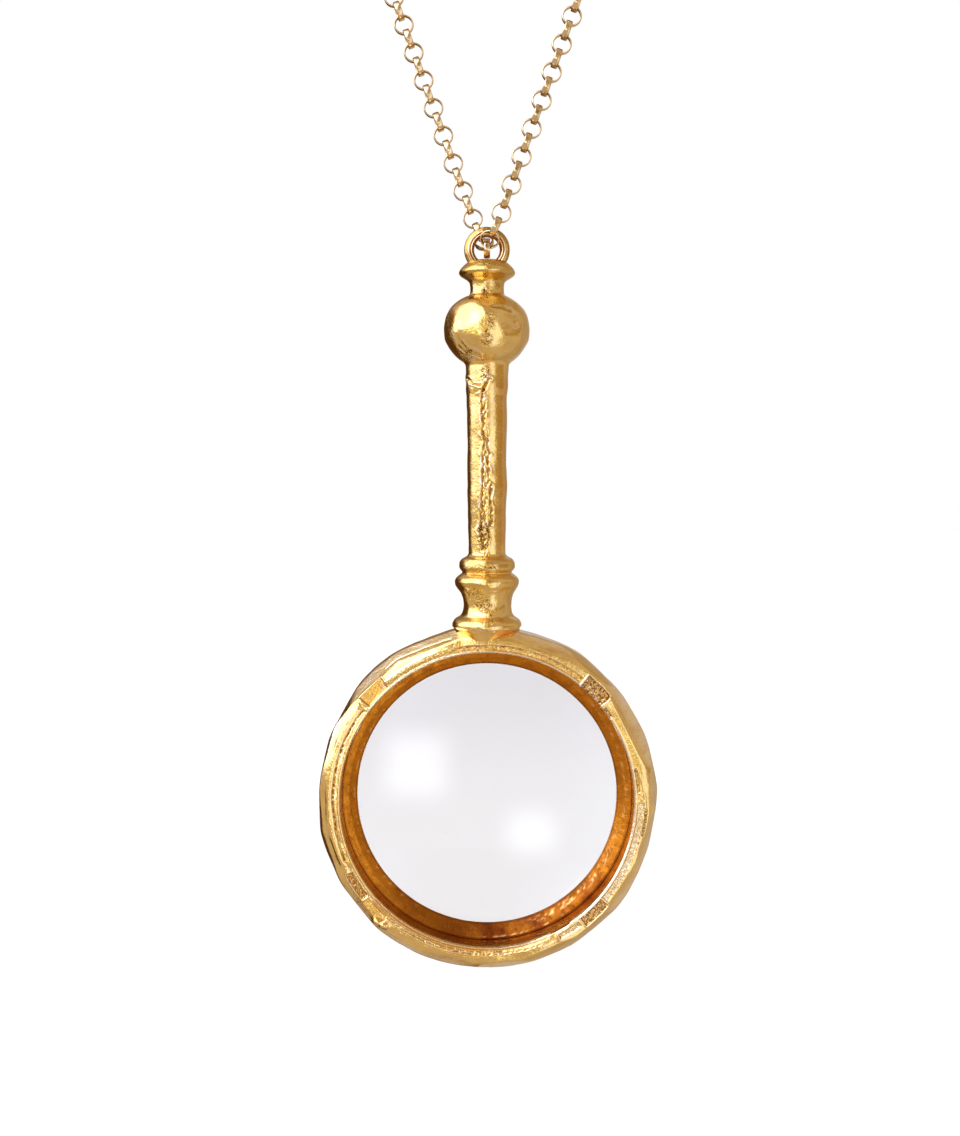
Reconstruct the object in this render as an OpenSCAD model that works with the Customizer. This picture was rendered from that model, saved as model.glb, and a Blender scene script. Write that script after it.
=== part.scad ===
// A gold-tone magnifying lens on a turned handle, hanging from a chain of round links.
// The necklace keeps its worn form: the chain runs down from the nape to a point in front.
// +Z is up, the pendant's face looks along -Y, and the origin is the middle of the clasp.

/* [Hoop] */
// Radius of the hoop over its bulged outside
hoop_r = 21.2; // [20.9:0.1:21.5]
// Radius of the bore that the lens ring sits in
bore_r = 18.1; // [18:0.05:18.3]
// Depth of the hoop from its front face to its back face
hoop_depth = 6; // [5.8:0.1:6.6]
// Rounding between the hoop's two faces and its outside
hoop_round = 2; // [1.6:0.1:2.2]
// Width of each notch in the front rim
notch_w = 3.4; // [2.5:0.1:4]
// Reach of the notches from the middle of the hoop
notch_reach = 20; // [19.6:0.1:20.2]
// Depth of the notches
notch_depth = 0.6; // [0.3:0.1:0.9]
// How much deeper than round the hand-filed flats on the outside are cut
flat_cut = 0.45; // [0.2:0.05:0.6]

/* [Lens] */
// Radius of the glass, a stock 35 mm blank
lens_r = 17.5; // [17.2:0.05:17.6]
// Thickness of the glass at its edge
lens_edge = 1; // [0.8:0.1:1.2]
// Bulge of each face of the glass
lens_bulge = 1.2; // [0.8:0.1:1.4]
// Radius of the opening that the lens ring leaves free
aperture_r = 16.3; // [16:0.1:16.6]
// Distance from the hoop's front face back to the lens ring
ring_setback = 3.1; // [2.8:0.1:3.3]
// How far the lens ring's face slopes back to its lip
ring_slope = 0.95; // [0.7:0.05:1]
// Gap between two pieces that sit in each other
fit_gap = 0.05; // [0.04:0.01:0.08]

/* [Handle] */
// Height of the hanging loop's middle over the middle of the hoop
loop_h = 68.1; // [67:0.1:69]
// Outer radius of the hanging loop
loop_r = 2.85; // [2.8:0.05:3]
// Radius of the loop's hole
loop_hole = 1.6; // [1.55:0.05:1.65]
// Thickness of the loop from front to back
loop_depth = 1.2; // [1:0.05:1.25]
// Radius of the cap under the loop
cap_r = 3.5; // [3.2:0.1:3.8]
// Radius of the neck between cap and ball
neck_r = 2.1; // [1.9:0.1:2.3]
// Radius of the ball around its middle
ball_r = 5.35; // [5:0.05:5.5]
// Half of the ball's height
ball_half = 4.95; // [4.7:0.05:5]
// Radius of the stem at its top
stem_top_r = 2.5; // [2.3:0.05:2.7]
// Radius of the stem at its foot
stem_foot_r = 2.25; // [2.1:0.05:2.4]
// Radius of the bead at the stem's foot
bead_r = 3.5; // [3.2:0.1:3.8]
// Radius of the collar under the bead
collar_r = 4; // [3.7:0.1:4.2]
// Radius of the waist under the collar
waist_r = 2.95; // [2.7:0.05:3.1]
// Radius of the foot that stands on the hoop
foot_r = 4.4; // [4.2:0.1:4.6]

/* [Chain] */
// Outer radius of a link
link_r = 1.25; // [1.24:0.01:1.26]
// Thickness of the flat strip that a link is bent from
strip_t = 0.18; // [0.16:0.01:0.18]
// Width of the strip
strip_w = 0.78; // [0.74:0.01:0.8]
// Distance from one link to the next
link_pitch = 1.85; // [1.84:0.005:1.86]
// Angle of each strand from upright
strand_angle = 19.7; // [19:0.1:20.5]
// Links on the straight part of each strand
strand_links = 97; // [20:1:97]
// Distance of the strands in front of the nape
chain_front_y = 130; // [125:1:135]
// Depth of the lowest link's middle under the nape
chain_drop = 180; // [175:1:185]

/* [Clasp] */
// Length of the barrel
clasp_len = 9; // [8:0.5:10]
// Radius of the barrel
clasp_r = 1.8; // [1.5:0.1:2]

/* [Hidden] */
$fn = 64;

gold = [0.84, 0.64, 0.27];
pale_gold = [0.89, 0.72, 0.42];
glass = [0.86, 0.88, 0.92, 0.4];

// The lowest link hangs in the loop's hole and the loop's top rests just over it.
link_seat = 0.16;
loop_wire = (loop_r - loop_hole) / 2;
low_link = [0, -chain_front_y, -chain_drop];
loop_mid = low_link + [0, 0, link_r + link_seat - loop_hole];
hoop_mid = loop_mid - [0, 0, loop_h];

// Heights of the turned forms over the middle of the hoop.
cap_h = 65.1;
ball_h = 57.85;
stem_top_h = 53.4;
bead_h = 28.6;
collar_h = 26.35;
waist_h = 23.4;
foot_h = 20.85;

// Angles of the four notches, counted from the right as seen from the front.
notch_angles = [45, 136, 224.5, 314];
// Filed flats on the hoop's outside: angle, share of the cut.
flats = [[13, 0.4], [30, 0.45], [45, 0.55], [73, 0.65], [111, 0.65], [151, 0.85], [168, 1],
    [180, 0.85], [207, 0.35], [218, 0.75], [264, 0.3], [288, 0.4], [309, 0.45], [336, 0.7], [351, 0.8]];

// The front links next to the loop, measured from the lowest link on the right-hand side.
// The first leans its top forward and turns a little to the side, the second leans sideways.
first_link = [0.38, -1.12, 1.04];
first_turn = [32, 11];
second_link = [1.08, -1.9, 2.4];
second_turn = 23.8;
third_link = [1.77, -1.86, 4.07];

// Middle line of the hidden chain on the right-hand side, from the strand's top to the clasp.
back_route = [
    [64.5, -129, -1.5], [66.5, -126, 4.5], [68, -120, 9.5], [69, -111, 12.5], [69.5, -100, 13.5],
    [69, -86, 13], [67.5, -70, 11.5], [64.5, -54, 10], [59.5, -39, 8], [52, -26, 6],
    [42, -15, 4], [30, -7, 2], [18, -2, 0.5], [7.3, 0, 0]
];
rings_per_step = 2;
tube_sides = 8;

// A round-edged disc profile: reaches r_max, with edge rounding e, around height h.
module disc_profile(r_max, e, h) {
    translate([r_max - e, h]) circle(e);
    translate([0, h - e]) square([r_max - e, 2 * e]);
}

module handle_profile() {
    disc_profile(cap_r, 0.9, cap_h);
    polygon([[0, cap_h], [cap_r - 0.25, cap_h + 0.5], [loop_r - 0.45, cap_h + 1.45], [0, cap_h + 1.45]]);
    polygon([[0, cap_h], [cap_r - 0.3, cap_h - 0.55], [neck_r, cap_h - 1.3], [0, cap_h - 1.3]]);
    translate([0, ball_h]) square([neck_r, cap_h - ball_h]);
    translate([0, ball_h]) intersection() {
        union() {
            translate([ball_r - ball_half, 0]) circle(ball_half);
            translate([0, -ball_half]) square([ball_r - ball_half, 2 * ball_half]);
        }
        translate([0, -ball_half]) square([ball_r, 2 * ball_half]);
    }
    polygon([[0, bead_h], [stem_foot_r, bead_h], [stem_foot_r + 0.12, 37], [stem_top_r - 0.05, 44],
        [stem_top_r, 50.5], [stem_top_r + 0.25, stem_top_h], [stem_top_r, stem_top_h + 0.4],
        [0, stem_top_h + 0.4]]);
    disc_profile(bead_r, 1.1, bead_h);
    translate([0, collar_h]) square([bead_r - 0.35, bead_h - collar_h]);
    disc_profile(collar_r, 0.95, collar_h);
    polygon([[0, collar_h], [collar_r - 0.2, collar_h - 0.6], [waist_r + 0.15, collar_h - 2.1],
        [waist_r, waist_h], [waist_r + 0.05, waist_h - 0.6], [foot_r - 0.9, foot_h + 1],
        [foot_r - 0.2, foot_h + 0.35], [foot_r, foot_h], [foot_r - 0.1, foot_h - 0.3],
        [foot_r - 1.5, foot_h - 2.1], [0, foot_h - 2.1]]);
}

// The section of a ring whose wire is a rounded bar with a thin groove along each face.
module loop_profile() {
    e = 0.4;
    difference() {
        translate([loop_hole + loop_wire, 0]) union() {
            for (r = [-1, 1], f = [-1, 1])
                translate([r * (loop_wire - e), f * (loop_depth / 2 - e)]) circle(e);
            square([2 * loop_wire, loop_depth - 2 * e], center = true);
            square([2 * (loop_wire - e), loop_depth], center = true);
        }
        for (f = [-1, 1])
            translate([loop_hole + loop_wire - 0.1, f * loop_depth / 2]) circle(0.06);
    }
}

// The hoop's section: flat faces, a rounded outside and a straight bore.
module hoop_profile() {
    mid = hoop_r - hoop_round;
    half = hoop_depth / 2;
    for (f = [-1, 1])
        translate([mid, f * (half - hoop_round)]) circle(hoop_round);
    translate([bore_r, -half]) square([mid - bore_r, hoop_depth]);
    translate([bore_r, -half + hoop_round]) square([hoop_r - bore_r, hoop_depth - 2 * hoop_round]);
}

// Turns a shape that was revolved about Z so that its axis lies along Y and its top looks to the front.
module face_front() {
    rotate([90, 0, 0]) children();
}

module hoop() {
    difference() {
        face_front() rotate_extrude($fn = 180) intersection() {
            hoop_profile();
            translate([bore_r, -hoop_depth]) square([hoop_r, 2 * hoop_depth]);
        }
        for (a = notch_angles)
            rotate([0, -a, 0])
                translate([bore_r - 1, -hoop_depth / 2 - 1, -notch_w / 2])
                    cube([notch_reach - bore_r + 1, notch_depth + 1, notch_w]);
        for (f = flats)
            rotate([0, -f[0], 0])
                translate([hoop_r - flat_cut * f[1], -hoop_depth, -hoop_r / 2])
                    cube([2, 2 * hoop_depth, hoop_r]);
    }
}

// Loop, handle and hoop are cast and soldered together, so they are one solid.
module frame() {
    color(gold) translate(hoop_mid) {
        hoop();
        rotate_extrude() handle_profile();
        translate([0, 0, loop_h]) face_front() rotate_extrude() loop_profile();
    }
}

// The turned ring that holds the glass: a sloping face, a lip, the glass's groove and a back lip.
module lens_ring() {
    out = bore_r - fit_gap;
    face = hoop_depth / 2 - ring_setback;
    lip = face - ring_slope;
    glass_front = lip - 0.15 - fit_gap;
    rim_front = glass_front - lens_bulge * (1 - pow(aperture_r / lens_r, 2));
    rim_back = rim_front - lens_edge;
    groove = lens_r + fit_gap;
    color(gold) translate(hoop_mid) face_front() rotate_extrude($fn = 180)
        polygon([[out, face], [aperture_r + 0.1, lip + 0.06], [aperture_r, lip], [aperture_r, lip - 0.15],
            [groove, rim_front + fit_gap], [groove, rim_back - fit_gap],
            [lens_r - 0.8, rim_back - fit_gap - 0.1], [lens_r - 0.8, rim_back - 0.35],
            [out - 0.2, rim_back - 0.45], [out, rim_back - 0.3]]);
}

// Clear glass, bulged on both faces.
module lens() {
    curve_r = (pow(lens_r, 2) + pow(lens_bulge, 2)) / (2 * lens_bulge);
    lip = hoop_depth / 2 - ring_setback - ring_slope;
    rim_front = lip - 0.15 - fit_gap - lens_bulge * (1 - pow(aperture_r / lens_r, 2));
    color(glass) translate(hoop_mid) face_front() translate([0, 0, rim_front - lens_edge / 2])
        rotate_extrude($fn = 180) intersection() {
            translate([0, lens_edge / 2 + lens_bulge - curve_r]) circle(curve_r, $fn = 256);
            translate([0, curve_r - lens_bulge - lens_edge / 2]) circle(curve_r, $fn = 256);
            translate([0, -2 * lens_bulge]) square([lens_r, 4 * lens_bulge]);
        }
}

// One link: a flat strip with a slightly crowned outside, bent round its own Z axis.
module link() {
    crown = 0.03;
    rotate_extrude($fn = 48)
        polygon([[link_r - strip_t, -strip_w / 2], [link_r - crown, -strip_w / 2],
            [link_r, -strip_w / 4], [link_r, strip_w / 4], [link_r - crown, strip_w / 2],
            [link_r - strip_t, strip_w / 2]]);
}

// Direction of the right-hand strand, easing back to the plane of the nape's chain.
strand_len = strand_links * link_pitch;
strand_dir = [sin(strand_angle), -third_link[1] / strand_len, cos(strand_angle)];
function strand_point(s) = low_link + third_link + s * strand_dir;

// The links from the loop up to the top of the right-hand strand.
module strand() {
    translate(low_link + first_link) rotate([90 + first_turn[0], 0, -first_turn[1]]) link();
    translate(low_link + second_link) rotate([0, 90 + second_turn, 0]) link();
    for (i = [0:strand_links - 1])
        translate(strand_point(i * link_pitch))
            if (i % 2 == 0) rotate([90, 0, 0]) link();
            else rotate([0, 90 + strand_angle, 0]) link();
}

// Both strands start at the lowest link: one passes in front of the loop, the other behind it.
module chain_front() {
    color(pale_gold) {
        translate(low_link) rotate([0, 90, 0]) link();
        strand();
        translate(low_link) rotate([0, 0, 180]) translate(-low_link) strand();
    }
}

// A smooth curve through the route's points, with u counting them.
function between(p, q, r, s, t) = 0.5 * (2 * q + t * (r - p) + t * t * (2 * p - 5 * q + 4 * r - s)
    + t * t * t * (3 * q - p - 3 * r + s));
function curve_point(route, u) =
    let (n = len(route) - 1, i = min(floor(u), n - 1), t = u - i)
        between(route[max(i - 1, 0)], route[i], route[i + 1], route[min(i + 2, n)], t);

// The hidden chain's outer form: rings of points round the route, joined into one closed tube
// whose flat sides clear the links.
module tube(route) {
    n = (len(route) - 1) * rings_per_step;
    corner_r = link_r / cos(180 / tube_sides);
    function at(k) = curve_point(route, k / rings_per_step);
    function along(k) = let (d = at(min(k + 0.5, n)) - at(max(k - 0.5, 0))) d / norm(d);
    function level(k) = let (d = cross([0, 0, 1], along(k))) d / norm(d);
    function ring(k) =
        let (a = along(k), side = level(k), up = cross(a, side))
            [for (j = [0:tube_sides - 1]) let (g = 360 * (j + 0.5) / tube_sides)
                at(k) + corner_r * (cos(g) * side + sin(g) * up)];
    points = [for (k = [0:n]) each ring(k)];
    walls = [for (k = [0:n - 1], j = [0:tube_sides - 1])
        let (m = (j + 1) % tube_sides, b = k * tube_sides)
            [b + j, b + tube_sides + j, b + tube_sides + m, b + m]];
    first_end = [for (j = [0:tube_sides - 1]) j];
    last_end = [for (j = [0:tube_sides - 1]) (n + 1) * tube_sides - 1 - j];
    polyhedron(points, concat(walls, [first_end, last_end]), convexity = 4);
}

module chain_back() {
    start = strand_point(strand_len - link_pitch + link_r + 0.1);
    color(pale_gold) {
        tube(concat([start], back_route));
        mirror([1, 0, 0]) tube(concat([start], back_route));
    }
}

// A plain barrel with an eye at each end.
module clasp() {
    eye_r = 1.1;
    eye_wire = 0.35;
    color(gold) rotate([0, 90, 0]) {
        cylinder(h = clasp_len, r = clasp_r, center = true);
        for (s = [-1, 1])
            translate([0, 0, s * (clasp_len / 2 + eye_r - 0.2)])
                rotate([90, 0, 0]) rotate_extrude() translate([eye_r, 0]) circle(eye_wire);
    }
}

frame();
lens_ring();
lens();
chain_front();
chain_back();
clasp();
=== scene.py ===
# Magnifier pendant on its chain: fine surfaces, finishes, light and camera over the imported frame.
import math

import bmesh
import bpy
import numpy as np
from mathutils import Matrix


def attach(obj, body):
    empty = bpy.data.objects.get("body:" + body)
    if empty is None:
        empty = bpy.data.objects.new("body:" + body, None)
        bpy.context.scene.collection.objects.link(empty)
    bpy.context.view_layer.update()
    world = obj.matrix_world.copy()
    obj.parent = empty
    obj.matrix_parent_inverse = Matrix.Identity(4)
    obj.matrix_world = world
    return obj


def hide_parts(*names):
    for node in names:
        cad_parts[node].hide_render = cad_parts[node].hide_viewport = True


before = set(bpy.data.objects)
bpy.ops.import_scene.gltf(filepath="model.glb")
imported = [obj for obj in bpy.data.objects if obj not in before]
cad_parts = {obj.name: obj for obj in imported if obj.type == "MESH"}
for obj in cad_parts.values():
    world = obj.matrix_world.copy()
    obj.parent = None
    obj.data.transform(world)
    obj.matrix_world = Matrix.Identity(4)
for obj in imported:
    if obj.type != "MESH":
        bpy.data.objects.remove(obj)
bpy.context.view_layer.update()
print("frame loaded:", ", ".join(sorted(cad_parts)))

mm = 0.001
weldDistance = 0.002 * mm

# Middles of the main forms in millimetres; the solids are built from the same values.
places = {
    "lowLink": (0.0, -130.0, -180.0),
    "loopMid": (0.0, -130.0, -180.19),
    "hoopMid": (0.0, -130.0, -248.29),
}


def gridFaces(rows, columns, wrapRows, wrapColumns):
    # Quads between grid neighbours; the last row or column joins the first where it wraps.
    r, c = np.meshgrid(np.arange(rows - (not wrapRows)), np.arange(columns - (not wrapColumns)),
                       indexing="ij")
    below, beside = (r + 1) % rows, (c + 1) % columns
    quads = [r * columns + c, below * columns + c, below * columns + beside, r * columns + beside]
    return np.stack(quads, -1).reshape(-1, 4)


def enclosed(points, quads):
    # Signed volume: each quad is two triangles, and each gives a sixth of a triple product.
    a, b, c, d = (points[quads[:, k]] for k in range(4))
    return (np.einsum("ij,ij->i", a, np.cross(b, c)) + np.einsum("ij,ij->i", a, np.cross(c, d))).sum() / 6


def makePiece(name, grids, body, material, marks, replaced, weld=False, sharpAt=None):
    # grids holds (points, wrapRows, wrapColumns), with points as (rows, columns, 3) or, for copies of one
    # form, (copies, rows, columns, 3). marks holds one value for each point under each mark's name.
    allPoints, allQuads, count = [], [], 0
    for points, wrapRows, wrapColumns in grids:
        copies = points.reshape((-1,) + points.shape[-3:])
        rows, columns = copies.shape[1:3]
        quads = gridFaces(rows, columns, wrapRows, wrapColumns)
        form = copies[0].reshape(-1, 3)
        if enclosed(form - form.mean(0), quads) < 0:
            quads = quads[:, ::-1]
        steps = np.arange(len(copies))[:, None, None] * rows * columns
        allQuads.append((quads[None] + steps + count).reshape(-1, 4))
        allPoints.append(copies.reshape(-1, 3))
        count += copies.shape[0] * rows * columns
    points, quads = np.concatenate(allPoints), np.concatenate(allQuads)
    mesh = bpy.data.meshes.new(name)
    mesh.vertices.add(len(points))
    mesh.vertices.foreach_set("co", (points * mm).astype(np.float32).ravel())
    mesh.loops.add(quads.size)
    mesh.loops.foreach_set("vertex_index", quads.astype(np.int32).ravel())
    mesh.polygons.add(len(quads))
    mesh.polygons.foreach_set("loop_start", np.arange(len(quads), dtype=np.int32) * 4)
    for mark, values in marks.items():
        layer = mesh.attributes.new(mark, "FLOAT", "POINT")
        layer.data.foreach_set("value", values.astype(np.float32).ravel())
    mesh.update(calc_edges=True)
    mesh.validate()
    if weld:  # closes seams and poles, then turns every face outwards
        work = bmesh.new()
        work.from_mesh(mesh)
        bmesh.ops.remove_doubles(work, verts=work.verts, dist=weldDistance)
        bmesh.ops.recalc_face_normals(work, faces=work.faces)
        work.to_mesh(mesh)
        work.free()
    mesh.shade_smooth()
    if sharpAt:
        mesh.set_sharp_from_angle(angle=math.radians(sharpAt))
    piece = bpy.data.objects.new(name, mesh)
    bpy.context.scene.collection.objects.link(piece)
    mesh.materials.append(material)
    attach(piece, body)
    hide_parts(*replaced)
    print(f"{name}: {len(mesh.polygons)} faces")


def latticeNoise(points, size, seed):
    # Random values on a cubic lattice, blended smoothly between its corners; from -1 to 1. A corner takes
    # its value from a table, at the place that its three whole coordinates, mixed by large primes, give.
    tableSize, primes = 4096, np.array([73856093, 19349663, 83492791])
    table = np.random.default_rng(seed).uniform(-1, 1, tableSize)
    cell = np.floor(points / size).astype(np.int64)
    t = points / size - cell
    t = t * t * (3 - 2 * t)
    total = 0
    for corner in range(8):
        bit = np.array([corner & 1, corner >> 1 & 1, corner >> 2 & 1])
        at = (cell + bit) * primes
        weight = np.where(bit, t, 1 - t).prod(-1)
        total = total + weight * table[(at[..., 0] ^ at[..., 1] ^ at[..., 2]) % tableSize]
    return total


def noiseOf(piece, name, points):
    # The noise that the piece's dictionary lists under that name, as the size of its lumps and its seed.
    return latticeNoise(points, *piece["noises"][name])


def bump(distance, width):
    # A bell of height 1 at distance 0, and 0.37 at the width.
    return np.exp(-((distance / width) ** 2))


def ramp(value, start, end):
    # Eases from 0 at start to 1 at end.
    t = np.clip((value - start) / (end - start), 0, 1)
    return t * t * (3 - 2 * t)


def between(value, start, full, fall, end):
    # Eases from 0 at start to 1 at full, and back from 1 at fall to 0 at end.
    return ramp(value, start, full) * (1 - ramp(value, fall, end))


def angleFrom(angle, middle):
    # How far the angle lies from the middle one, in degrees from -180 to 180.
    return (angle - middle + 180) % 360 - 180


def lineDistance(a, b, line):
    # Distance of every point of the flat chart (a, b) from a broken line in that chart.
    best = np.full(np.broadcast(a, b).shape, 1e6)
    for (a0, b0), (a1, b1) in zip(line[:-1], line[1:]):
        da, db = a1 - a0, b1 - b0
        t = np.clip(((a - a0) * da + (b - b0) * db) / (da * da + db * db), 0, 1)
        best = np.minimum(best, np.hypot(a - a0 - t * da, b - b0 - t * db))
    return best


def lengthAlong(line):
    # How far along a broken line each of its points lies.
    return np.concatenate([[0], np.cumsum(np.linalg.norm(np.diff(line, axis=0), axis=1))])


def pointsAt(line, at):
    # The points of a broken line at those lengths along it.
    along = lengthAlong(line)
    return np.stack([np.interp(at, along, values) for values in np.transpose(line)], -1)


def carriedRound(section, count):
    # (radius cos a, depth, radius sin a): a section of (radius, depth) points carried round an axis that
    # runs from front to back. The angle is in degrees, from the right as seen from the front.
    angle = np.linspace(0, 360, count, endpoint=False)[:, None] + 0 * section[:, 0]
    radius, depth = section[:, 0] + 0 * angle, section[:, 1] + 0 * angle
    turned = np.radians(angle)
    return np.stack([radius * np.cos(turned), depth, radius * np.sin(turned)], -1), angle, radius, depth


def smoothThrough(stations, count):
    # Cubic pieces through the stations whose slopes never overshoot, at even steps of length.
    stations = np.asarray(stations, float)
    along = lengthAlong(stations)
    gap = np.diff(along)[:, None]
    rise = np.diff(stations, axis=0) / gap
    before, after = rise[:-1], rise[1:]
    w1, w2 = 2 * gap[1:] + gap[:-1], gap[1:] + 2 * gap[:-1]
    same = before * after > 0
    safeBefore, safeAfter = np.where(same, before, 1), np.where(same, after, 1)
    inner = np.where(same, (w1 + w2) / (w1 / safeBefore + w2 / safeAfter), 0)
    slope = np.concatenate([rise[:1], inner, rise[-1:]])
    at = np.linspace(0, along[-1], count)
    k = np.clip(np.searchsorted(along, at, side="right") - 1, 0, len(gap) - 1)
    g = gap[k]
    t = (at - along[k])[:, None] / g
    return (stations[k] * (1 + 2 * t) * (1 - t) ** 2 + slope[k] * g * t * (1 - t) ** 2
            + stations[k + 1] * t * t * (3 - 2 * t) + slope[k + 1] * g * t * t * (t - 1))


def outwardNormals(points, wrapRows, wrapColumns, inside=(0, 0, 0)):
    # Cross product of the central differences along both ways of the grid, away from the point inside.
    def difference(axis, wrap):
        if wrap:
            return np.roll(points, -1, axis) - np.roll(points, 1, axis)
        return np.gradient(points, axis=axis)
    n = np.cross(difference(0, wrapRows), difference(1, wrapColumns))
    n = n / np.maximum(np.linalg.norm(n, axis=-1, keepdims=True), 1e-9)
    return n * np.sign((n * (points - inside)).sum())


def turn(ax=0.0, ay=0.0, az=0.0):
    # Rotation about X, then Y, then Z, in degrees.
    ax, ay, az = np.radians([ax, ay, az])
    aboutX = np.array([[1, 0, 0], [0, math.cos(ax), -math.sin(ax)], [0, math.sin(ax), math.cos(ax)]])
    aboutY = np.array([[math.cos(ay), 0, math.sin(ay)], [0, 1, 0], [-math.sin(ay), 0, math.cos(ay)]])
    aboutZ = np.array([[math.cos(az), -math.sin(az), 0], [math.sin(az), math.cos(az), 0], [0, 0, 1]])
    return aboutZ @ aboutY @ aboutX


def aim(azimuth, height):
    # The direction at an azimuth counted from the front, positive to the right, and a height, in degrees.
    a, h = math.radians(azimuth), math.radians(height)
    return np.array([math.sin(a) * math.cos(h), -math.cos(a) * math.cos(h), math.sin(h)])


class Signal:
    # One socket's value, so that shader maths reads as plain expressions.
    def __init__(self, finish, socket):
        self.finish, self.socket = finish, socket

    def __add__(self, other):
        return self.finish.maths("ADD", self, other)

    def __sub__(self, other):
        return self.finish.maths("SUBTRACT", self, other)

    def __rsub__(self, other):
        return self.finish.maths("SUBTRACT", other, self)

    def __mul__(self, other):
        return self.finish.maths("MULTIPLY", self, other)

    __radd__, __rmul__ = __add__, __mul__


class Finish:
    # A node tree that is written as expressions; add() makes any node.
    def __init__(self, owner):
        owner.use_nodes = True
        self.owner, self.tree = owner, owner.node_tree
        self.tree.nodes.clear()

    def add(self, kind, settings=None, sockets=None, output=0):
        node = self.tree.nodes.new("ShaderNode" + kind)
        for key, value in (settings or {}).items():
            setattr(node, key, value)
        for key, value in (sockets or {}).items():
            if isinstance(value, Signal):
                self.tree.links.new(value.socket, node.inputs[key])
            else:
                node.inputs[key].default_value = value
        return Signal(self, node.outputs[output])

    def maths(self, operation, a, b=0.0):
        return self.add("Math", {"operation": operation}, {0: a, 1: b})

    def least(self, a, b):
        return self.maths("MINIMUM", a, b)

    def blend(self, amount, a, b):
        colours = [value if isinstance(value, Signal) else (*value, 1) for value in (a, b)]
        return self.add("Mix", {"data_type": "RGBA"}, {0: amount, 6: colours[0], 7: colours[1]}, output=2)

    def eased(self, value, start, end):
        return self.add("MapRange", {"interpolation_type": "SMOOTHSTEP"}, {0: value, 1: start, 2: end})

    def here(self):
        return self.add("TexCoord", output="Object")

    def mark(self, name):
        return self.add("Attribute", {"attribute_name": name}, output="Fac")

    def cloud(self, where, size, detail=2.0, rough=0.5):
        # Soft noise from 0 to 1 whose lumps are about size millimetres across.
        return self.add("TexNoise", None, {"Vector": where, "Scale": 1 / (size * mm), "Detail": detail,
                                           "Roughness": rough}, output="Fac")

    def surface(self, shader):
        end = self.tree.nodes.new("ShaderNodeOutput" + ("World" if isinstance(self.owner, bpy.types.World)
                                                       else "Material"))
        self.tree.links.new(shader.socket, end.inputs["Surface"])


def newFinish(name):
    return Finish(bpy.data.materials.new(name))


# Each gold: the colours of its light and deep metal, of its pits and its painted shade, of its painted
# highlights and of its painted amber shade; its gloss as the least roughness; its clear coat; the size and
# height of its soft clouds and of its foil-like ripple, in millimetres; and how dark its speckle is.
golds = {
    "frame": {"light": (0.96, 0.63, 0.12), "deep": (0.80, 0.46, 0.05), "pitAndShade": (0.22, 0.085, 0.012),
              "worn": (1.0, 0.87, 0.66), "amber": (0.66, 0.25, 0.035), "gloss": 0.10, "coat": 1.0,
              "cloudSize": 2.4, "cloudHeight": 0.14, "foilSize": 0.3, "foilHeight": 0.035, "speckle": 0.5},
    "ring": {"light": (0.66, 0.235, 0.018), "deep": (0.44, 0.14, 0.012), "pitAndShade": (0.12, 0.03, 0.006),
             "worn": (0.92, 0.55, 0.18), "amber": (0.17, 0.036, 0.005), "gloss": 0.20, "coat": 0.0,
             "cloudSize": 1.1, "cloudHeight": 0.06, "foilSize": 0.25, "foilHeight": 0.03, "speckle": 0.5},
    "chain": {"light": (0.86, 0.64, 0.34), "deep": (0.60, 0.40, 0.15), "pitAndShade": (0.10, 0.045, 0.012),
              "worn": (0.98, 0.84, 0.62), "amber": (0.42, 0.24, 0.06), "gloss": 0.10, "coat": 0.6,
              "cloudSize": 0.7, "cloudHeight": 0.02, "foilSize": 0.2, "foilHeight": 0.006, "speckle": 0.35},
    "clasp": {"light": (0.96, 0.62, 0.26), "deep": (0.80, 0.44, 0.14), "pitAndShade": (0.25, 0.12, 0.04),
              "gloss": 0.14, "coat": 0.6, "cloudSize": 2.0, "cloudHeight": 0.02,
              "foilSize": 0.3, "foilHeight": 0.006, "speckle": 0.25},
}

# What the golds share. An ease is the start and end of a soft step on noise that runs from 0 to 1.
skin = {
    "toneEase": (0.38, 0.68), "toneShare": 0.6,
    "speckSize": 0.15, "speckEase": (0.36, 0.24),
    "pitSize": 0.20, "pitEase": (0.55, 0.38), "pitDark": 0.9, "pitDepth": 0.08,
    "creaseDark": 0.95, "creaseDepth": 0.03,
    "toneRough": 0.07, "foilRough": 0.08, "grainRough": 0.16, "amberRough": 0.12,  # added to the gloss
    "bareAmber": 0.7,  # how much of the clear coat is gone where the amber is full
    "coatRough": 0.08, "coatIndex": 2.2, "edgeTint": (1.0, 0.88, 0.7, 1),
}


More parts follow.
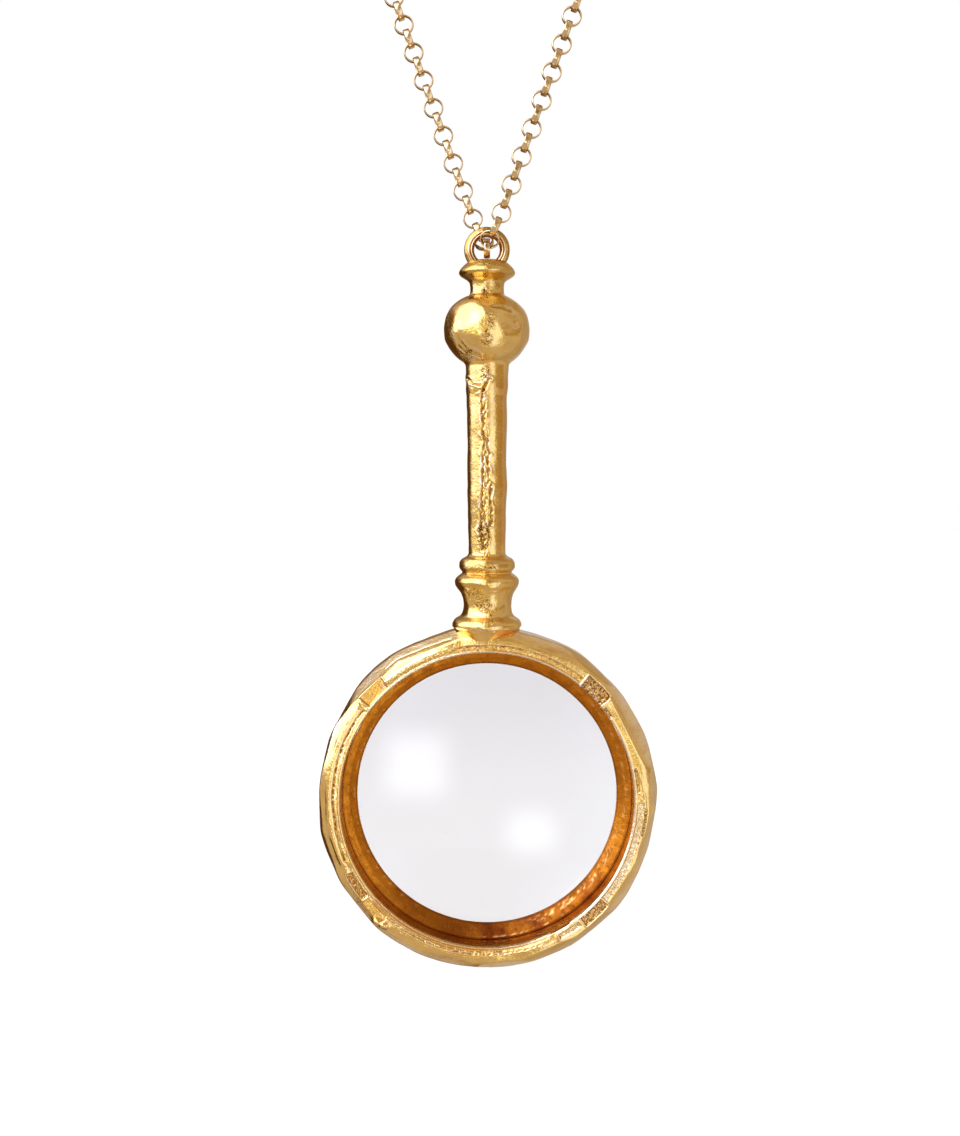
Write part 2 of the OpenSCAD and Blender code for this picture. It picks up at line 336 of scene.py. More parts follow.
def goldFinish(key, marked):
    # Plated bronze, mostly under clear lacquer: cloudy tone, foil-like skin, deeper in pits, and painted
    # shade, painted amber shade and painted highlights where the piece's marks say.
    look = golds[key]
    finish = newFinish(f"{key}_gold")
    where = finish.here()
    clouds = finish.cloud(where, look["cloudSize"], detail=3.0)
    foil = finish.cloud(where, look["foilSize"], detail=3.0, rough=0.6)
    fine = finish.cloud(where, skin["speckSize"], rough=0.6)
    tone = finish.eased(clouds, *skin["toneEase"])
    specks = finish.eased(fine, *skin["speckEase"]) * look["speckle"]
    colour = finish.blend(tone * skin["toneShare"], look["light"], look["deep"])
    dark, lacquer = specks, look["coat"]
    rough = look["gloss"] + skin["toneRough"] * tone + skin["foilRough"] * foil
    relief = look["cloudHeight"] * clouds + look["foilHeight"] * foil
    if marked:
        # The marks paint shade, amber shade and highlights; painted shade takes the pit colour.
        grain, paintedShade, amber = finish.mark("grain"), finish.mark("paintedShade"), finish.mark("amber")
        pits = finish.eased(finish.cloud(where, skin["pitSize"], rough=0.6), *skin["pitEase"]) * grain
        colour = finish.blend(finish.mark("worn"), finish.blend(amber, colour, look["amber"]), look["worn"])
        dark = finish.least(specks + paintedShade * skin["creaseDark"] + pits * skin["pitDark"], 1.0)
        rough = rough + skin["grainRough"] * grain + skin["amberRough"] * amber
        relief = relief - skin["pitDepth"] * pits - skin["creaseDepth"] * paintedShade
        lacquer = lacquer * (1 - skin["bareAmber"] * amber)
    colour = finish.blend(dark, colour, look["pitAndShade"])
    coat = (1 - dark) * (1 - dark) * lacquer
    normal = finish.add("Bump", None, {"Strength": 1.0, "Distance": mm, "Height": relief})
    finish.surface(finish.add("BsdfPrincipled", None, {
        "Base Color": colour, "Metallic": 1.0, "Roughness": rough, "Normal": normal,
        "Coat Weight": coat, "Coat Roughness": skin["coatRough"], "Coat IOR": skin["coatIndex"],
        "Specular Tint": skin["edgeTint"]}))
    return finish.owner


frameGold = goldFinish("frame", True)
ringGold = goldFinish("ring", True)
chainGold = goldFinish("chain", True)
claspGold = goldFinish("clasp", False)

# The turned handle from the cap down to the foot on the hoop: (height over the hoop's middle, radius).
handle = {
    "profile": [
        (66.72, 0), (66.72, 1.6), (66.62, 2.2), (66.3, 2.68), (65.9, 3.1), (65.5, 3.4), (65.2, 3.5),
        (64.9, 3.35), (64.55, 2.85), (64.25, 2.4), (63.9, 2.15), (63.2, 2.07), (62.7, 2.1), (62.4, 2.22),
        (62.1, 2.75), (61.75, 3.35), (61.2, 4.08), (60.4, 4.73), (59.4, 5.13), (58.2, 5.3), (57.0, 5.2),
        (56.0, 4.78),
        (55.1, 4.15), (54.4, 3.4), (53.95, 2.85), (53.6, 2.7), (52.5, 2.68), (50.9, 2.66), (49.6, 2.52),
        (46, 2.5), (42, 2.44), (38.5, 2.48), (35, 2.38), (32, 2.34), (30.2, 2.34), (29.85, 2.6),
        (29.5, 3.2), (29.0, 3.47), (28.5, 3.5), (28.1, 3.3), (27.85, 3.12), (27.55, 3.45), (27.1, 3.92),
        (26.7, 4.04), (26.3, 3.98), (25.8, 3.68), (25.1, 3.25), (24.3, 3.02), (23.6, 2.95), (22.9, 3.05),
        (22.45, 3.3), (22.2, 3.7), (22.0, 4.0), (21.75, 4.2), (21.45, 4.32), (21.2, 4.33), (21.0, 4.22),
        (20.85, 4.1), (20.4, 4.15), (19.9, 4.0), (19.4, 3.7), (19.0, 3.3), (18.7, 2.6), (18.7, 0)],
    # Painted highlight along a line round the foot: height, half width, strength, shake.
    "footHighlight": (21.05, 0.1, 0.7, 0.12),
    "darkeningPatches": (0.8, 0.6),  # evenness of the painted shade, and how much it varies
    # How much painted shade the metal gets at each height.
    "paintedDarkening": [(18.7, 0.12), (24, 0.08), (26, 0.22), (29, 0.28), (30.5, 0.06), (54, 0.03), (62, 0.12),
                (64.5, 0.36), (66.5, 0.3), (67.5, 0.4)],
    "levels": 620,
    "around": 144,
    # Spans of the parts up the handle: each eases in over two heights and out over the next two.
    "ballSpan": (53.4, 54.4, 61.6, 62.4), "stemSpan": (30.5, 32, 51, 53),
    "waistSpan": (21.5, 22.5, 25.5, 27), "webTop": (20.8, 21.0), "middle": 45,
    "frontEase": 0.15,  # marks fade out where the surface turns away from the front
    "endEase": (0.3, 1.5),  # and at both ends, between these two radii
    "handMade": 0.05, "handMadeFine": 0.02,  # heights of the slow and the fine unevenness of the casting
    "hammered": 0.10,  # height of the blotches on the waist
    "grainHeight": 0.07,
    # Noises: size of the lumps, and seed.
    "noises": {
        "patchEdge": (0.5, 11), "grain": (0.26, 12), "wander": (0.7, 13), "shake": (0.3, 20),
        "lineWidth": (0.5, 21), "shine": (0.6, 22), "handMade": (2.6, 14), "handMadeFine": (0.9, 15),
        "hammered": (1.1, 16), "footHighlight": (1.5, 23), "paintedDarkening": (0.9, 24), "veinEdge": (0.4, 17),
        "vein": (0.23, 18), "fineVein": (0.14, 19)},
    "ballMiddle": 57.85, "ballSize": (5.3, 4.95), "ballCrisp": 0.07, "webCrisp": 0.03,
    "frontMost": (-5.15, 0.19),  # the front is held back softly from here, with this much room
    # Painted amber shade on the right side of the web and of the stem: from and to across, strength.
    "webRightShade": (0.3, 1.6, 0.8), "stemRightShade": (1.1, 1.9, 0.4),
    # Flats pressed into the ball: azimuth from the front, tilt upwards, how deep.
    "ballFlats": [(34, 6, 0.22), (68, -8, 0.18), (-64, 12, 0.05), (14, -42, 0.2), (-30, -44, 0.2),
                  (10, 50, 0.15), (110, 10, 0.2), (165, -10, 0.25), (-120, 0, 0.2)],
    # Flats of the web under the foot: azimuth, tilt downwards, radius and height that each passes through.
    "webFlats": [(-40, 36, 4.1, 20.85), (34, 44, 3.95, 20.85), (-2, 37, 4.05, 20.85), (180, 38, 4.0, 20.85),
                 (140, 38, 4.05, 20.85), (-140, 38, 4.05, 20.85)],
    # The step down the ball: (height, across) up its edge, how softly it falls, and its height.
    "stepLine": [(53.9, -0.5), (55.4, 0.1), (57.2, 0.5), (59.2, 0.35), (60.6, -0.35), (62.2, -1.0)],
    "stepEase": 0.1, "stepHeight": 0.09,
    # The veined band down the stem: middle line, and half width at heights.
    "veins": [(-0.45, 51.0), (-0.35, 47.5), (-0.1, 44.0), (0.0, 40.0), (0.05, 36.5), (-0.2, 33.0),
              (-0.35, 30.4)],
    "veinWidth": [(30.4, 0.75), (34, 0.85), (38, 0.75), (43, 0.42), (47, 0.2), (51, 0.35)],
    "veinEase": (0.7, 1.15), "veinRagged": 0.35,  # how softly and how raggedly the band ends
    "veinDrawn": (1, 1, 0.2), "fineVeinDrawn": (1, 1, 0.4), "veinEdgeDrawn": (1, 1, 0.3),
    "fineVeins": 0.5, "veinLevel": 0.35, "veinDepth": 0.055, "veinDark": 0.75, "veinDarkEase": (0.0, 0.6),
    # Porous patches: across, height, half width, half height, strength.
    "patchRagged": 0.5, "patchEase": (0.5, 1.3),
    "patches": [(-0.25, 62.4, 0.55, 0.7, 1.0), (0.55, 58.6, 0.45, 1.1, 1.0), (-0.1, 56.6, 0.75, 1.1, 1.0),
                (-2.3, 54.8, 0.8, 0.5, 1.0), (-0.25, 52.5, 0.65, 1.0, 1.0), (-0.4, 32.2, 0.8, 1.8, 1.0),
                (-1.5, 25.4, 0.9, 0.8, 0.6), (-0.4, 23.9, 1.1, 1.0, 0.8), (0.5, 22.6, 0.5, 0.8, 0.9),
                (0.0, 66.2, 0.6, 0.5, 0.7), (0.4, 28.6, 0.7, 0.3, 0.9), (-0.9, 28.5, 0.7, 0.5, 0.5)],
    "shakes": (0.14, 0.07),  # how far the wide and the fine shake move a crack
    "evenness": (0.85, 0.6),  # a crack's least width, and how much it varies
    "burr": (2.4, 0.35),  # beside a crack, on its right: how many half widths away, share of the depth
    "paintedLightAndShade": (2.3, -0.2, 0.4),  # the painted highlight beside it: half widths away, and the ease of its breaks
    # Cracks and folds: (across, height) points, half width, depth, darkness of the painted shade in them.
    "lines": [
        ([(-0.6, 50.4), (-0.75, 49.7), (-0.6, 49.0), (-0.5, 46.4), (-0.5, 45.0), (-0.3, 44.2), (-0.5, 43.0),
          (-0.55, 41.5), (-0.5, 39.7), (-0.6, 38.0), (-0.62, 36.0), (-0.8, 34.0), (-0.9, 33.0)],
         0.13, 0.20, 1.0),
        ([(0.3, 51.7), (-0.1, 51.1), (-0.6, 50.4)], 0.17, 0.25, 1.0),
        ([(-2.5, 51.9), (-1.8, 51.2), (-0.8, 51.0)], 0.14, 0.22, 0.6),
        ([(0.05, 44.3), (0.15, 43.3), (0.2, 42.2), (0.1, 41.0), (0.2, 39.8), (0.1, 38.6)], 0.13, 0.18, 0.9),
        ([(0.45, 38.6), (0.4, 37.0), (0.5, 35.5), (0.4, 33.8)], 0.14, 0.18, 1.0),
        ([(-3.6, 57.0), (-3.2, 56.2), (-2.4, 55.4), (-1.4, 54.9), (-0.6, 54.5)], 0.20, 0.07, 0.35),
        ([(-3.2, 57.4), (-2.8, 56.7), (-2.0, 56.0), (-0.8, 55.5)], 0.18, 0.04, 0.15),
        ([(-3.4, 55.9), (-2.8, 55.3), (-2.2, 54.9)], 0.15, 0.07, 0.55),
        ([(0.8, 60.5), (1.8, 60.35), (2.8, 59.9)], 0.26, 0.06, 0.6),
        ([(3.3, 61.0), (3.5, 59.6), (3.4, 58.0)], 0.14, 0.06, 0.2)],
}


def flattened(points, n, reach, crisp, where=1.0):
    # Eases every point that lies past the plane n . p = reach back onto it.
    over = np.clip((points @ n - reach) / crisp, -30, 30)
    return points - n * (where * crisp * np.log1p(np.exp(over)))[..., None]


def turnedHandle():
    # radius(height) carried round the upright axis, with flats pressed into the ball and the web
    profile = smoothThrough(handle["profile"], handle["levels"])
    spin = np.linspace(0, 2 * np.pi, handle["around"], endpoint=False)[None]
    height, radius = profile[:, 0][:, None] + 0 * spin, profile[:, 1][:, None] + 0 * spin
    points = np.stack([radius * np.sin(spin), -radius * np.cos(spin), height], -1)
    onBall = between(height, *handle["ballSpan"])
    ballMiddle, (wide, tall) = np.array([0, 0, handle["ballMiddle"]]), handle["ballSize"]
    for azimuth, tilt, cut in handle["ballFlats"]:
        up = math.radians(tilt)
        reach = math.hypot(wide * math.cos(up), tall * math.sin(up)) - cut
        points = ballMiddle + flattened(
            points - ballMiddle, aim(azimuth, tilt), reach, handle["ballCrisp"], onBall)
    onWeb = 1 - ramp(height, *handle["webTop"])
    for azimuth, tilt, passRadius, passHeight in handle["webFlats"]:
        down = math.radians(tilt)
        reach = passRadius * math.cos(down) - passHeight * math.sin(down)
        points = flattened(points, aim(azimuth, -tilt), reach, handle["webCrisp"], onWeb)
    front = ramp(np.cos(spin), -handle["frontEase"], handle["frontEase"]) + 0 * radius
    return points, height, radius, front, onBall, onWeb


def handlePatches(points, height, front):
    # Porous patches: 1 inside a ragged ellipse, less where the patch is weaker.
    grain = 0 * height
    ragged = handle["patchRagged"] * noiseOf(handle, "patchEdge", points)
    for x, z, halfWidth, halfHeight, strength in handle["patches"]:
        inside = ((points[..., 0] - x) / halfWidth) ** 2 + ((height - z) / halfHeight) ** 2
        grain = np.maximum(grain, strength * (1 - ramp(inside + ragged, *handle["patchEase"])) * front)
    return grain


def handleVeins(points, height, front):
    # Noise drawn out along the stem within a ragged band: raised where high, with painted shade where low.
    edge = lineDistance(points[..., 0], height, handle["veins"]) / np.interp(
        height, *np.transpose(handle["veinWidth"]))
    edge = edge + handle["veinRagged"] * noiseOf(handle, "veinEdge", points * handle["veinEdgeDrawn"])
    inBand = (1 - ramp(edge, *handle["veinEase"])) * front
    streak = noiseOf(handle, "vein", points * handle["veinDrawn"])
    streak = streak + handle["fineVeins"] * noiseOf(handle, "fineVein", points * handle["fineVeinDrawn"])
    return (handle["veinDepth"] * inBand * (streak - handle["veinLevel"]),
            handle["veinDark"] * inBand * ramp(-streak, *handle["veinDarkEase"]))


def handleLines(points, height, front, push, paintedShade):
    # Each crack is a bell-shaped groove along a shaky line with painted shade in it, and a burr and a
    # painted highlight to its right.
    worn = 0 * height
    wide, fine = handle["shakes"]
    wander = noiseOf(handle, "wander", points) * wide + noiseOf(handle, "shake", points) * fine
    least, varied = handle["evenness"]
    uneven = least + varied * noiseOf(handle, "lineWidth", points)
    burrAt, burrHigh = handle["burr"]
    highlightAt, *breaks = handle["paintedLightAndShade"]
    shine = ramp(noiseOf(handle, "shine", points), *breaks)
    for line, halfWidth, depth, dark in handle["lines"]:
        width = halfWidth * uneven
        distance = lineDistance(points[..., 0] + wander, height, line)
        groove, burr = bump(distance, width), bump(distance - burrAt * width, width)
        push = push - depth * (groove - burrHigh * burr) * front
        paintedShade = np.maximum(paintedShade, dark * groove * front)
        worn = np.maximum(worn, dark * bump(distance - highlightAt * width, width) * front * shine)
    return push, paintedShade, worn


def handleSideShade(across, height, onWeb):
    # Painted amber shade on the right side of the web and of the stem.
    webFrom, webTo, webMost = handle["webRightShade"]
    stemFrom, stemTo, stemMost = handle["stemRightShade"]
    onStem = between(height, *handle["stemSpan"])
    return (ramp(across, webFrom, webTo) * onWeb * webMost
            + ramp(across, stemFrom, stemTo) * onStem * stemMost)


def shapeHandle():
    # The turned form pushed in and out along its normals. Every mark runs from 0 to 1.
    points, height, radius, front, onBall, onWeb = turnedHandle()
    normals = outwardNormals(points, False, True, (0, 0, handle["middle"]))
    across = points[..., 0]
    grain = handlePatches(points, height, front)
    veinPush, paintedShade = handleVeins(points, height, front)
    push = handle["grainHeight"] * grain * noiseOf(handle, "grain", points) + veinPush
    besideStep = across - np.interp(height, *np.transpose(handle["stepLine"]))
    push = push + handle["stepHeight"] * (
        1 - ramp(besideStep, -handle["stepEase"], handle["stepEase"])) * front * onBall
    push, paintedShade, worn = handleLines(points, height, front, push, paintedShade)
    push = (push + handle["handMade"] * noiseOf(handle, "handMade", points)
            + handle["handMadeFine"] * noiseOf(handle, "handMadeFine", points))
    onWaist = between(height, *handle["waistSpan"])
    push = push + handle["hammered"] * onWaist * noiseOf(handle, "hammered", points)
    # Painted highlight along a line round the foot.
    at, halfWidth, strength, shake = handle["footHighlight"]
    fromEdge = height - at - shake * noiseOf(handle, "footHighlight", points)
    worn = np.maximum(worn, strength * bump(fromEdge, halfWidth))
    # Painted shade that changes with height, in patches.
    even, varied = handle["darkeningPatches"]
    paintedShade = np.maximum(paintedShade, np.interp(height, *np.transpose(handle["paintedDarkening"])) * (
        even + varied * noiseOf(handle, "paintedDarkening", points)))
    points = points + normals * (push * ramp(radius, *handle["endEase"]))[..., None]
    # The front is kept behind a plane: y grows by over - room * tanh(over / room).
    start, room = handle["frontMost"]
    over = np.maximum(start - points[..., 1], 0)
    points[..., 1] += over - room * np.tanh(over / room)
    return points + places["hoopMid"], {"grain": grain, "paintedShade": paintedShade, "worn": worn * (1 - paintedShade),
                                        "amber": handleSideShade(across, height, onWeb)}


points, marks = shapeHandle()
makePiece("handle", [(points, False, True)], "pendant", frameGold, marks, ("frame",),
          weld=True)

# The hoop: its section carried round a level axis, then filed flat, sunk, ridged and cracked as by hand.
# Angles are counted from the right, as seen from the front; radii and depths are in millimetres.
hoop = {
    "radius": 21.2, "bore": 18.1, "halfDepth": 3.0, "rounding": 2.0, "edge": 0.13,
    "backLand": (0.4, 0.3),  # the back's flat stops this far from the rounding and from the bore's edge
    "around": 1320,
    "chart": 19.3,  # radius at which lengths along the front are measured
    "frontSpan": (1.2, 2.1),  # marks fade in between these depths
    # Filed flats: angle, tilt from the outside towards the front, how deep.
    "flats": [
        (13, 0, 0.18), (30, 0, 0.2), (45, 0, 0.25), (73, 0, 0.29), (111, 0, 0.29), (151, 0, 0.38),
        (168, 0, 0.45), (180, 0, 0.38), (207, 0, 0.16), (218, 0, 0.34), (264, 0, 0.14), (288, 0, 0.18),
        (309, 0, 0.2), (336, 0, 0.32), (351, 0, 0.36),
        (27, 45, 0.62), (50, 32, 0.25), (70, 42, 0.38), (90, 36, 0.3), (111.5, 32, 0.62),
        (122, 79, 0.14), (133, 29, 0.58), (158, 46, 0.25), (182, 49, 0.25), (-158, 50, 0.35),
        (145, 22, 0.3), (163, 20, 0.3), (184, 21, 0.3), (-160, 22, 0.35), (-140, 42, 0.36),
        (-122, 38, 0.25), (-104, 46, 0.3), (-85, 38, 0.25), (-67, 45, 0.3), (-50, 36, 0.3),
        (-33, 46, 0.36), (-16, 38, 0.4), (3, 30, 0.22),
        (20, -30, 0.3), (65, -25, 0.3), (120, -32, 0.3), (160, -30, 0.2), (200, -25, 0.3), (245, -32, 0.3),
        (290, -25, 0.3), (335, -30, 0.3)],
    "crisp": 0.05, "outsideCrisp": 0.12,  # width of the edge between two flats
    # Painted highlight on the bore's edge: how far outside the bore, half width; round which angle, how far
    # either way, how softly that ends, and how much is lost beyond.
    "boreEdge": (0.12, 0.13), "bright": (27, 112, 8, 0.75),
    # Painted pale reflection on the outside: radii of its ease, strength, and the least and the varied
    # strength of its patches. It is wider round one angle, by a length, between two reaches, and missing
    # round another.
    "paintedSheen": (20.3, 21.0, 0.85), "palePatches": (0.8, 0.4), "paleWider": (-10, 0.5, 45, 60),
    "paleMissing": (206, 26, 36),
    "lip": (18.32, 0.1, 0.07),  # ridge round the bore: radius, half width, height
    "rim": (0.12, 0.09, 0.08),  # round a field: how far outside its edge, half width, that of its shine
    "fieldRagged": 0.05, "fieldEase": (-0.07, 0.05),
    "fieldLine": (-0.04, 0.05, 0.6),  # painted shade in a line inside a field's edge: where, half width, darkness
    "mottle": (0.6, 0.5), "shineMost": 0.85,
    "strokeShake": 0.05, "beads": (0.5, 1.2),
    # Painted highlight on the edges of a groove that is darker than this: half widths away, how wide, how
    # bright.
    "grooveEdge": (0.6, 1.9, 0.7, 0.8),
    "handMade": 0.06, "handMadeFine": 0.02,  # heights of the slow and the fine unevenness
    "handMadeFrom": (18.3, 18.9),  # radii over which that begins
    "boreShade": (0.55, 0.25, 0.13),  # painted amber shade on the bore's wall: strength, and how far outside it that fades
    # Noises: size of the lumps, and seed.
    "noises": {
        "fieldEdge": (0.45, 23), "mottle": (0.7, 27), "wander": (0.6, 25), "beads": (0.3, 26),
        "grain": (0.24, 24), "handMade": (3.2, 21), "handMadeFine": (1.0, 22), "paintedSheen": (1.3, 28)},
    # Sunk fields on the front: from, to, inner and outer radius, depth, grain, height of the rim, painted
    # amber shade, and painted shade, where less than 0 is a painted highlight.
    "fields": [
        (39.7, 50.6, 17.9, 19.8, 0.65, 1.0, 0.14, 0.3, 0.1),
        (131, 141.5, 18.4, 20.15, 0.42, 0.0, 0.07, 0.35, 0.1),
        (219.5, 229.5, 18.9, 20.8, 0.36, 0.1, 0.05, 0.2, 0.15),
        (308.5, 319, 18.45, 19.7, 0.26, 0.8, 0.09, 0.35, 0.0),
        (208, 218.5, 18.8, 19.65, 0.20, 0.7, 0.05, 0.5, 0.15),
        (298, 307, 18.65, 19.25, 0.12, 0.5, 0.06, 0.1, -0.4),
        (51.5, 131, 18.42, 19.1, 0.07, 0.5, 0.04, 0.15, 0.0),
        (320, 359, 18.5, 19.25, 0.06, 0.35, 0.03, 0.0, -0.5),
        (347, 357, 19.42, 19.75, 0.13, 1.0, 0.03, 0.1, 0.3),
        (33.5, 38, 18.15, 18.5, 0.12, 0.9, 0.02, 0.0, 0.3),
        (3, 12, 18.5, 18.8, 0.06, 0.7, 0.02, 0.0, 0.2)],
    "grainHeight": 0.11, "grainLevel": 0.25,
    # Strokes on the front as (angle, radius): points, half width, height (grooves are negative), darkness
    # of its painted shade, how far the stroke breaks up into beads, and painted amber shade.
    "strokes": [
        ([(143.5, 18.78), (150, 18.9), (160, 18.95), (178, 18.97), (188, 18.85), (203, 18.95)],
         0.10, -0.24, 1.0, 0.6, 0.0),
        ([(144, 19.5), (160, 19.45), (203, 19.45)], 0.42, 0.16, 0.0, 0.0, 0.0),
        ([(222, 18.45), (236, 18.5), (262, 18.5), (285, 18.35), (303, 18.1)], 0.32, -0.20, 0.0, 0.0, 0.55),
        ([(145, 18.4), (170, 18.42), (215, 18.4)], 0.05, -0.05, 0.5, 0.3, 0.0),
        ([(203, 18.93), (208, 18.75), (219, 18.68)], 0.07, -0.12, 0.8, 0.5, 0.0),
        ([(229.5, 18.9), (240, 18.9), (260, 18.92), (292, 18.9)], 0.07, -0.10, 0.7, 1.0, 0.0),
        ([(229.5, 19.05), (240, 19.05), (260, 19.07), (292, 19.05)], 0.08, 0.05, 0.0, 0.6, 0.0),
        ([(103, 18.85), (117, 18.9), (130.5, 18.95)], 0.26, 0.12, 0.0, 0.15, 0.0),
        ([(103, 18.34), (131, 18.3)], 0.06, -0.10, 0.8, 1.0, 0.0),
        ([(51, 18.92), (77, 18.92), (103, 18.9)], 0.05, -0.08, 0.6, 0.8, 0.0),
        ([(128, 20.75), (115.7, 20.6), (103, 20.5)], 0.09, -0.06, 0.7, 0.0, 0.0),
        ([(320, 19.33), (340, 19.33), (358, 19.35)], 0.05, -0.06, 0.5, 0.5, 0.0),
        ([(142.9, 18.5), (143.8, 18.9), (143.8, 19.4), (142.9, 19.8)], 0.12, 0.16, 0.0, 0.0, 0.0),
        ([(227.4, 20.4), (231.0, 19.8)], 0.38, 0.38, 0.0, 0.0, 0.0),
        ([(11.7, 18.9), (3, 19.3), (-6, 19.6)], 0.10, 0.07, 0.0, 0.0, 0.0),
        ([(47, 19.75), (38, 19.9), (30, 19.95)], 0.07, -0.04, 0.3, 0.0, 0.0)],
}


def sectionLine():
    # (radius, depth) once round the section; depth -3 is the front face, and corners are arcs.
    r, b, h, w, e = hoop["radius"], hoop["bore"], hoop["halfDepth"], hoop["rounding"], hoop["edge"]
    turns, backTurns, small = (np.linspace(0, np.pi / 2, count) for count in (30, 10, 5))
    backOut, backIn = hoop["backLand"]
    face = np.linspace(b + e, r - w, 15)[1:-1]
    wall = np.linspace(h - e, e - h, 8)[1:-1]
    return np.concatenate([
        np.stack([b + e - e * np.cos(small), -h + e - e * np.sin(small)], -1),
        np.stack([face, np.full(face.shape, -h)], -1),
        np.stack([r - w + w * np.sin(turns), -h + w - w * np.cos(turns)], -1),
        [(r, (w - h) / 2), (r, (h - w) / 2)],
        np.stack([r - w + w * np.cos(backTurns), h - w + w * np.sin(backTurns)], -1),
        [(r - w - backOut, h), (b + e + backIn, h)],
        np.stack([b + e - e * np.sin(small), h - e + e * np.cos(small)], -1),
        np.stack([np.full(wall.shape, b), wall], -1)])


def filedHoop():
    # Each flat is a plane: its distance is the round form's reach that way, less the cut.
    points, angle, radius, depth = carriedRound(sectionLine(), hoop["around"])
    core, halfCore = hoop["radius"] - hoop["rounding"], hoop["halfDepth"] - hoop["rounding"]
    for at, tilt, cut in hoop["flats"]:
        a, t = math.radians(at), math.radians(tilt)
        n = np.array([math.cos(a) * math.cos(t), -math.sin(t), math.sin(a) * math.cos(t)])
        reach = core * math.cos(t) + halfCore * abs(math.sin(t)) + hoop["rounding"] - cut
        points = flattened(points, n, reach, hoop["crisp"] if tilt else hoop["outsideCrisp"])
    return points, angle, radius, depth


def sinkFields(points, angle, radius, front, mottled):
    # The front is lowered to each field's floor, with a rim round it; earlier marks are wiped there.
    grain, paintedShade, amber, worn = (0 * radius for mark in range(4))
    ragged = hoop["fieldRagged"] * noiseOf(hoop, "fieldEdge", points)
    lineAt, lineWidth, lineDark = hoop["fieldLine"]
    lipRadius, lipWidth, lipHeight = hoop["lip"]
    rimAt, rimWidth, shineWidth = hoop["rim"]
    push, sunk = lipHeight * bump(radius - lipRadius, lipWidth) * front, points[..., 1].copy()
    for start, end, inner, outer, deep, grainy, rim, amberShadeLevel, shade in hoop["fields"]:
        along = np.radians(angleFrom(angle, (start + end) / 2)) * hoop["chart"]
        edge = np.maximum(np.abs(along) - np.radians((end - start) / 2) * hoop["chart"],
                          np.abs(radius - (inner + outer) / 2) - (outer - inner) / 2) + ragged
        inside = (1 - ramp(edge, *hoop["fieldEase"])) * front
        keep = 1 - inside
        sunk = sunk + inside * np.clip(deep - hoop["halfDepth"] - sunk, 0, None)
        # Painted highlight on each field's rim; painted shade and painted amber shade inside it.
        push = push * keep + rim * bump(edge - rimAt, rimWidth) * front
        worn = worn * keep + min(1, 8 * rim) * bump(edge - rimAt, shineWidth) * front * mottled * keep
        grain = grain * keep + grainy * inside
        amber = amber * keep + amberShadeLevel * inside
        darkLine = min(1, deep * 3) * lineDark * bump(edge - lineAt, lineWidth) * front
        paintedShade = np.maximum(paintedShade * keep, darkLine)
        paintedShade = np.maximum(paintedShade, shade * inside * mottled)
        worn = np.maximum(worn, -shade * inside * (0.4 + mottled))
    points[..., 1] = sunk
    return push, {"grain": grain, "paintedShade": paintedShade, "amber": amber, "worn": worn}


def chaseStrokes(points, angle, radius, front, mottled, push, marks):
    # Each stroke is a bell-shaped groove or ridge along a shaky line in the chart (length along, radius).
    wander = hoop["strokeShake"] * noiseOf(hoop, "wander", points)
    level, contrast = hoop["beads"]
    beads = np.clip(level + contrast * noiseOf(hoop, "beads", points), 0, 1)
    sharpFrom, edgeAt, edgeWidth, edgeShine = hoop["grooveEdge"]
    for line, halfWidth, height, dark, beaded, amberShadeLevel in hoop["strokes"]:
        middle = line[len(line) // 2][0]
        flat = [(math.radians(a - middle) * hoop["chart"], r) for a, r in line]
        along = np.radians(angleFrom(angle, middle)) * hoop["chart"]
        distance = lineDistance(along, radius + wander, flat)
        whole = (1 - beaded + beaded * beads) * front
        push = push + height * bump(distance, halfWidth) * whole
        # The stroke's painted shade and painted amber shade.
        marks["paintedShade"] = np.maximum(marks["paintedShade"], dark * bump(distance, halfWidth * 0.85) * whole)
        marks["amber"] = np.maximum(marks["amber"], amberShadeLevel * bump(distance, halfWidth * 1.3) * front)
        if dark > sharpFrom:  # a sharp groove gets painted highlights on its edges
            shine = edgeShine * bump(distance - edgeAt * halfWidth, halfWidth * edgeWidth) * mottled * front
            marks["worn"] = np.maximum(marks["worn"], shine)
    return push


def edgeAndOutsideHighlights(points, angle, radius, depth):
    # Painted highlight on the bore's front edge, least at the lower left; painted pale reflection outside.
    middle, reach, soft, lost = hoop["bright"]
    lit = 1 - lost * ramp(np.abs(angleFrom(angle, middle)), reach - soft, reach + soft)
    edgeAt, halfWidth = hoop["boreEdge"]
    face = hoop["halfDepth"]
    boreEdge = bump(radius - hoop["bore"] - edgeAt, halfWidth) * ramp(-depth, face - 0.3, face - 0.1) * lit
    inner, outer, strength = hoop["paintedSheen"]
    middle, wider, near, far = hoop["paleWider"]
    inner = inner - wider * (1 - ramp(np.abs(angleFrom(angle, middle)), near, far))
    paintedSheen = ramp(radius, inner, outer)
    middle, near, far = hoop["paleMissing"]
    paintedSheen = paintedSheen * (1 - ramp(-np.abs(angleFrom(angle, middle)), -far, -near))
    least, varied = hoop["palePatches"]
    return boreEdge, strength * paintedSheen * (least + varied * noiseOf(hoop, "paintedSheen", points))


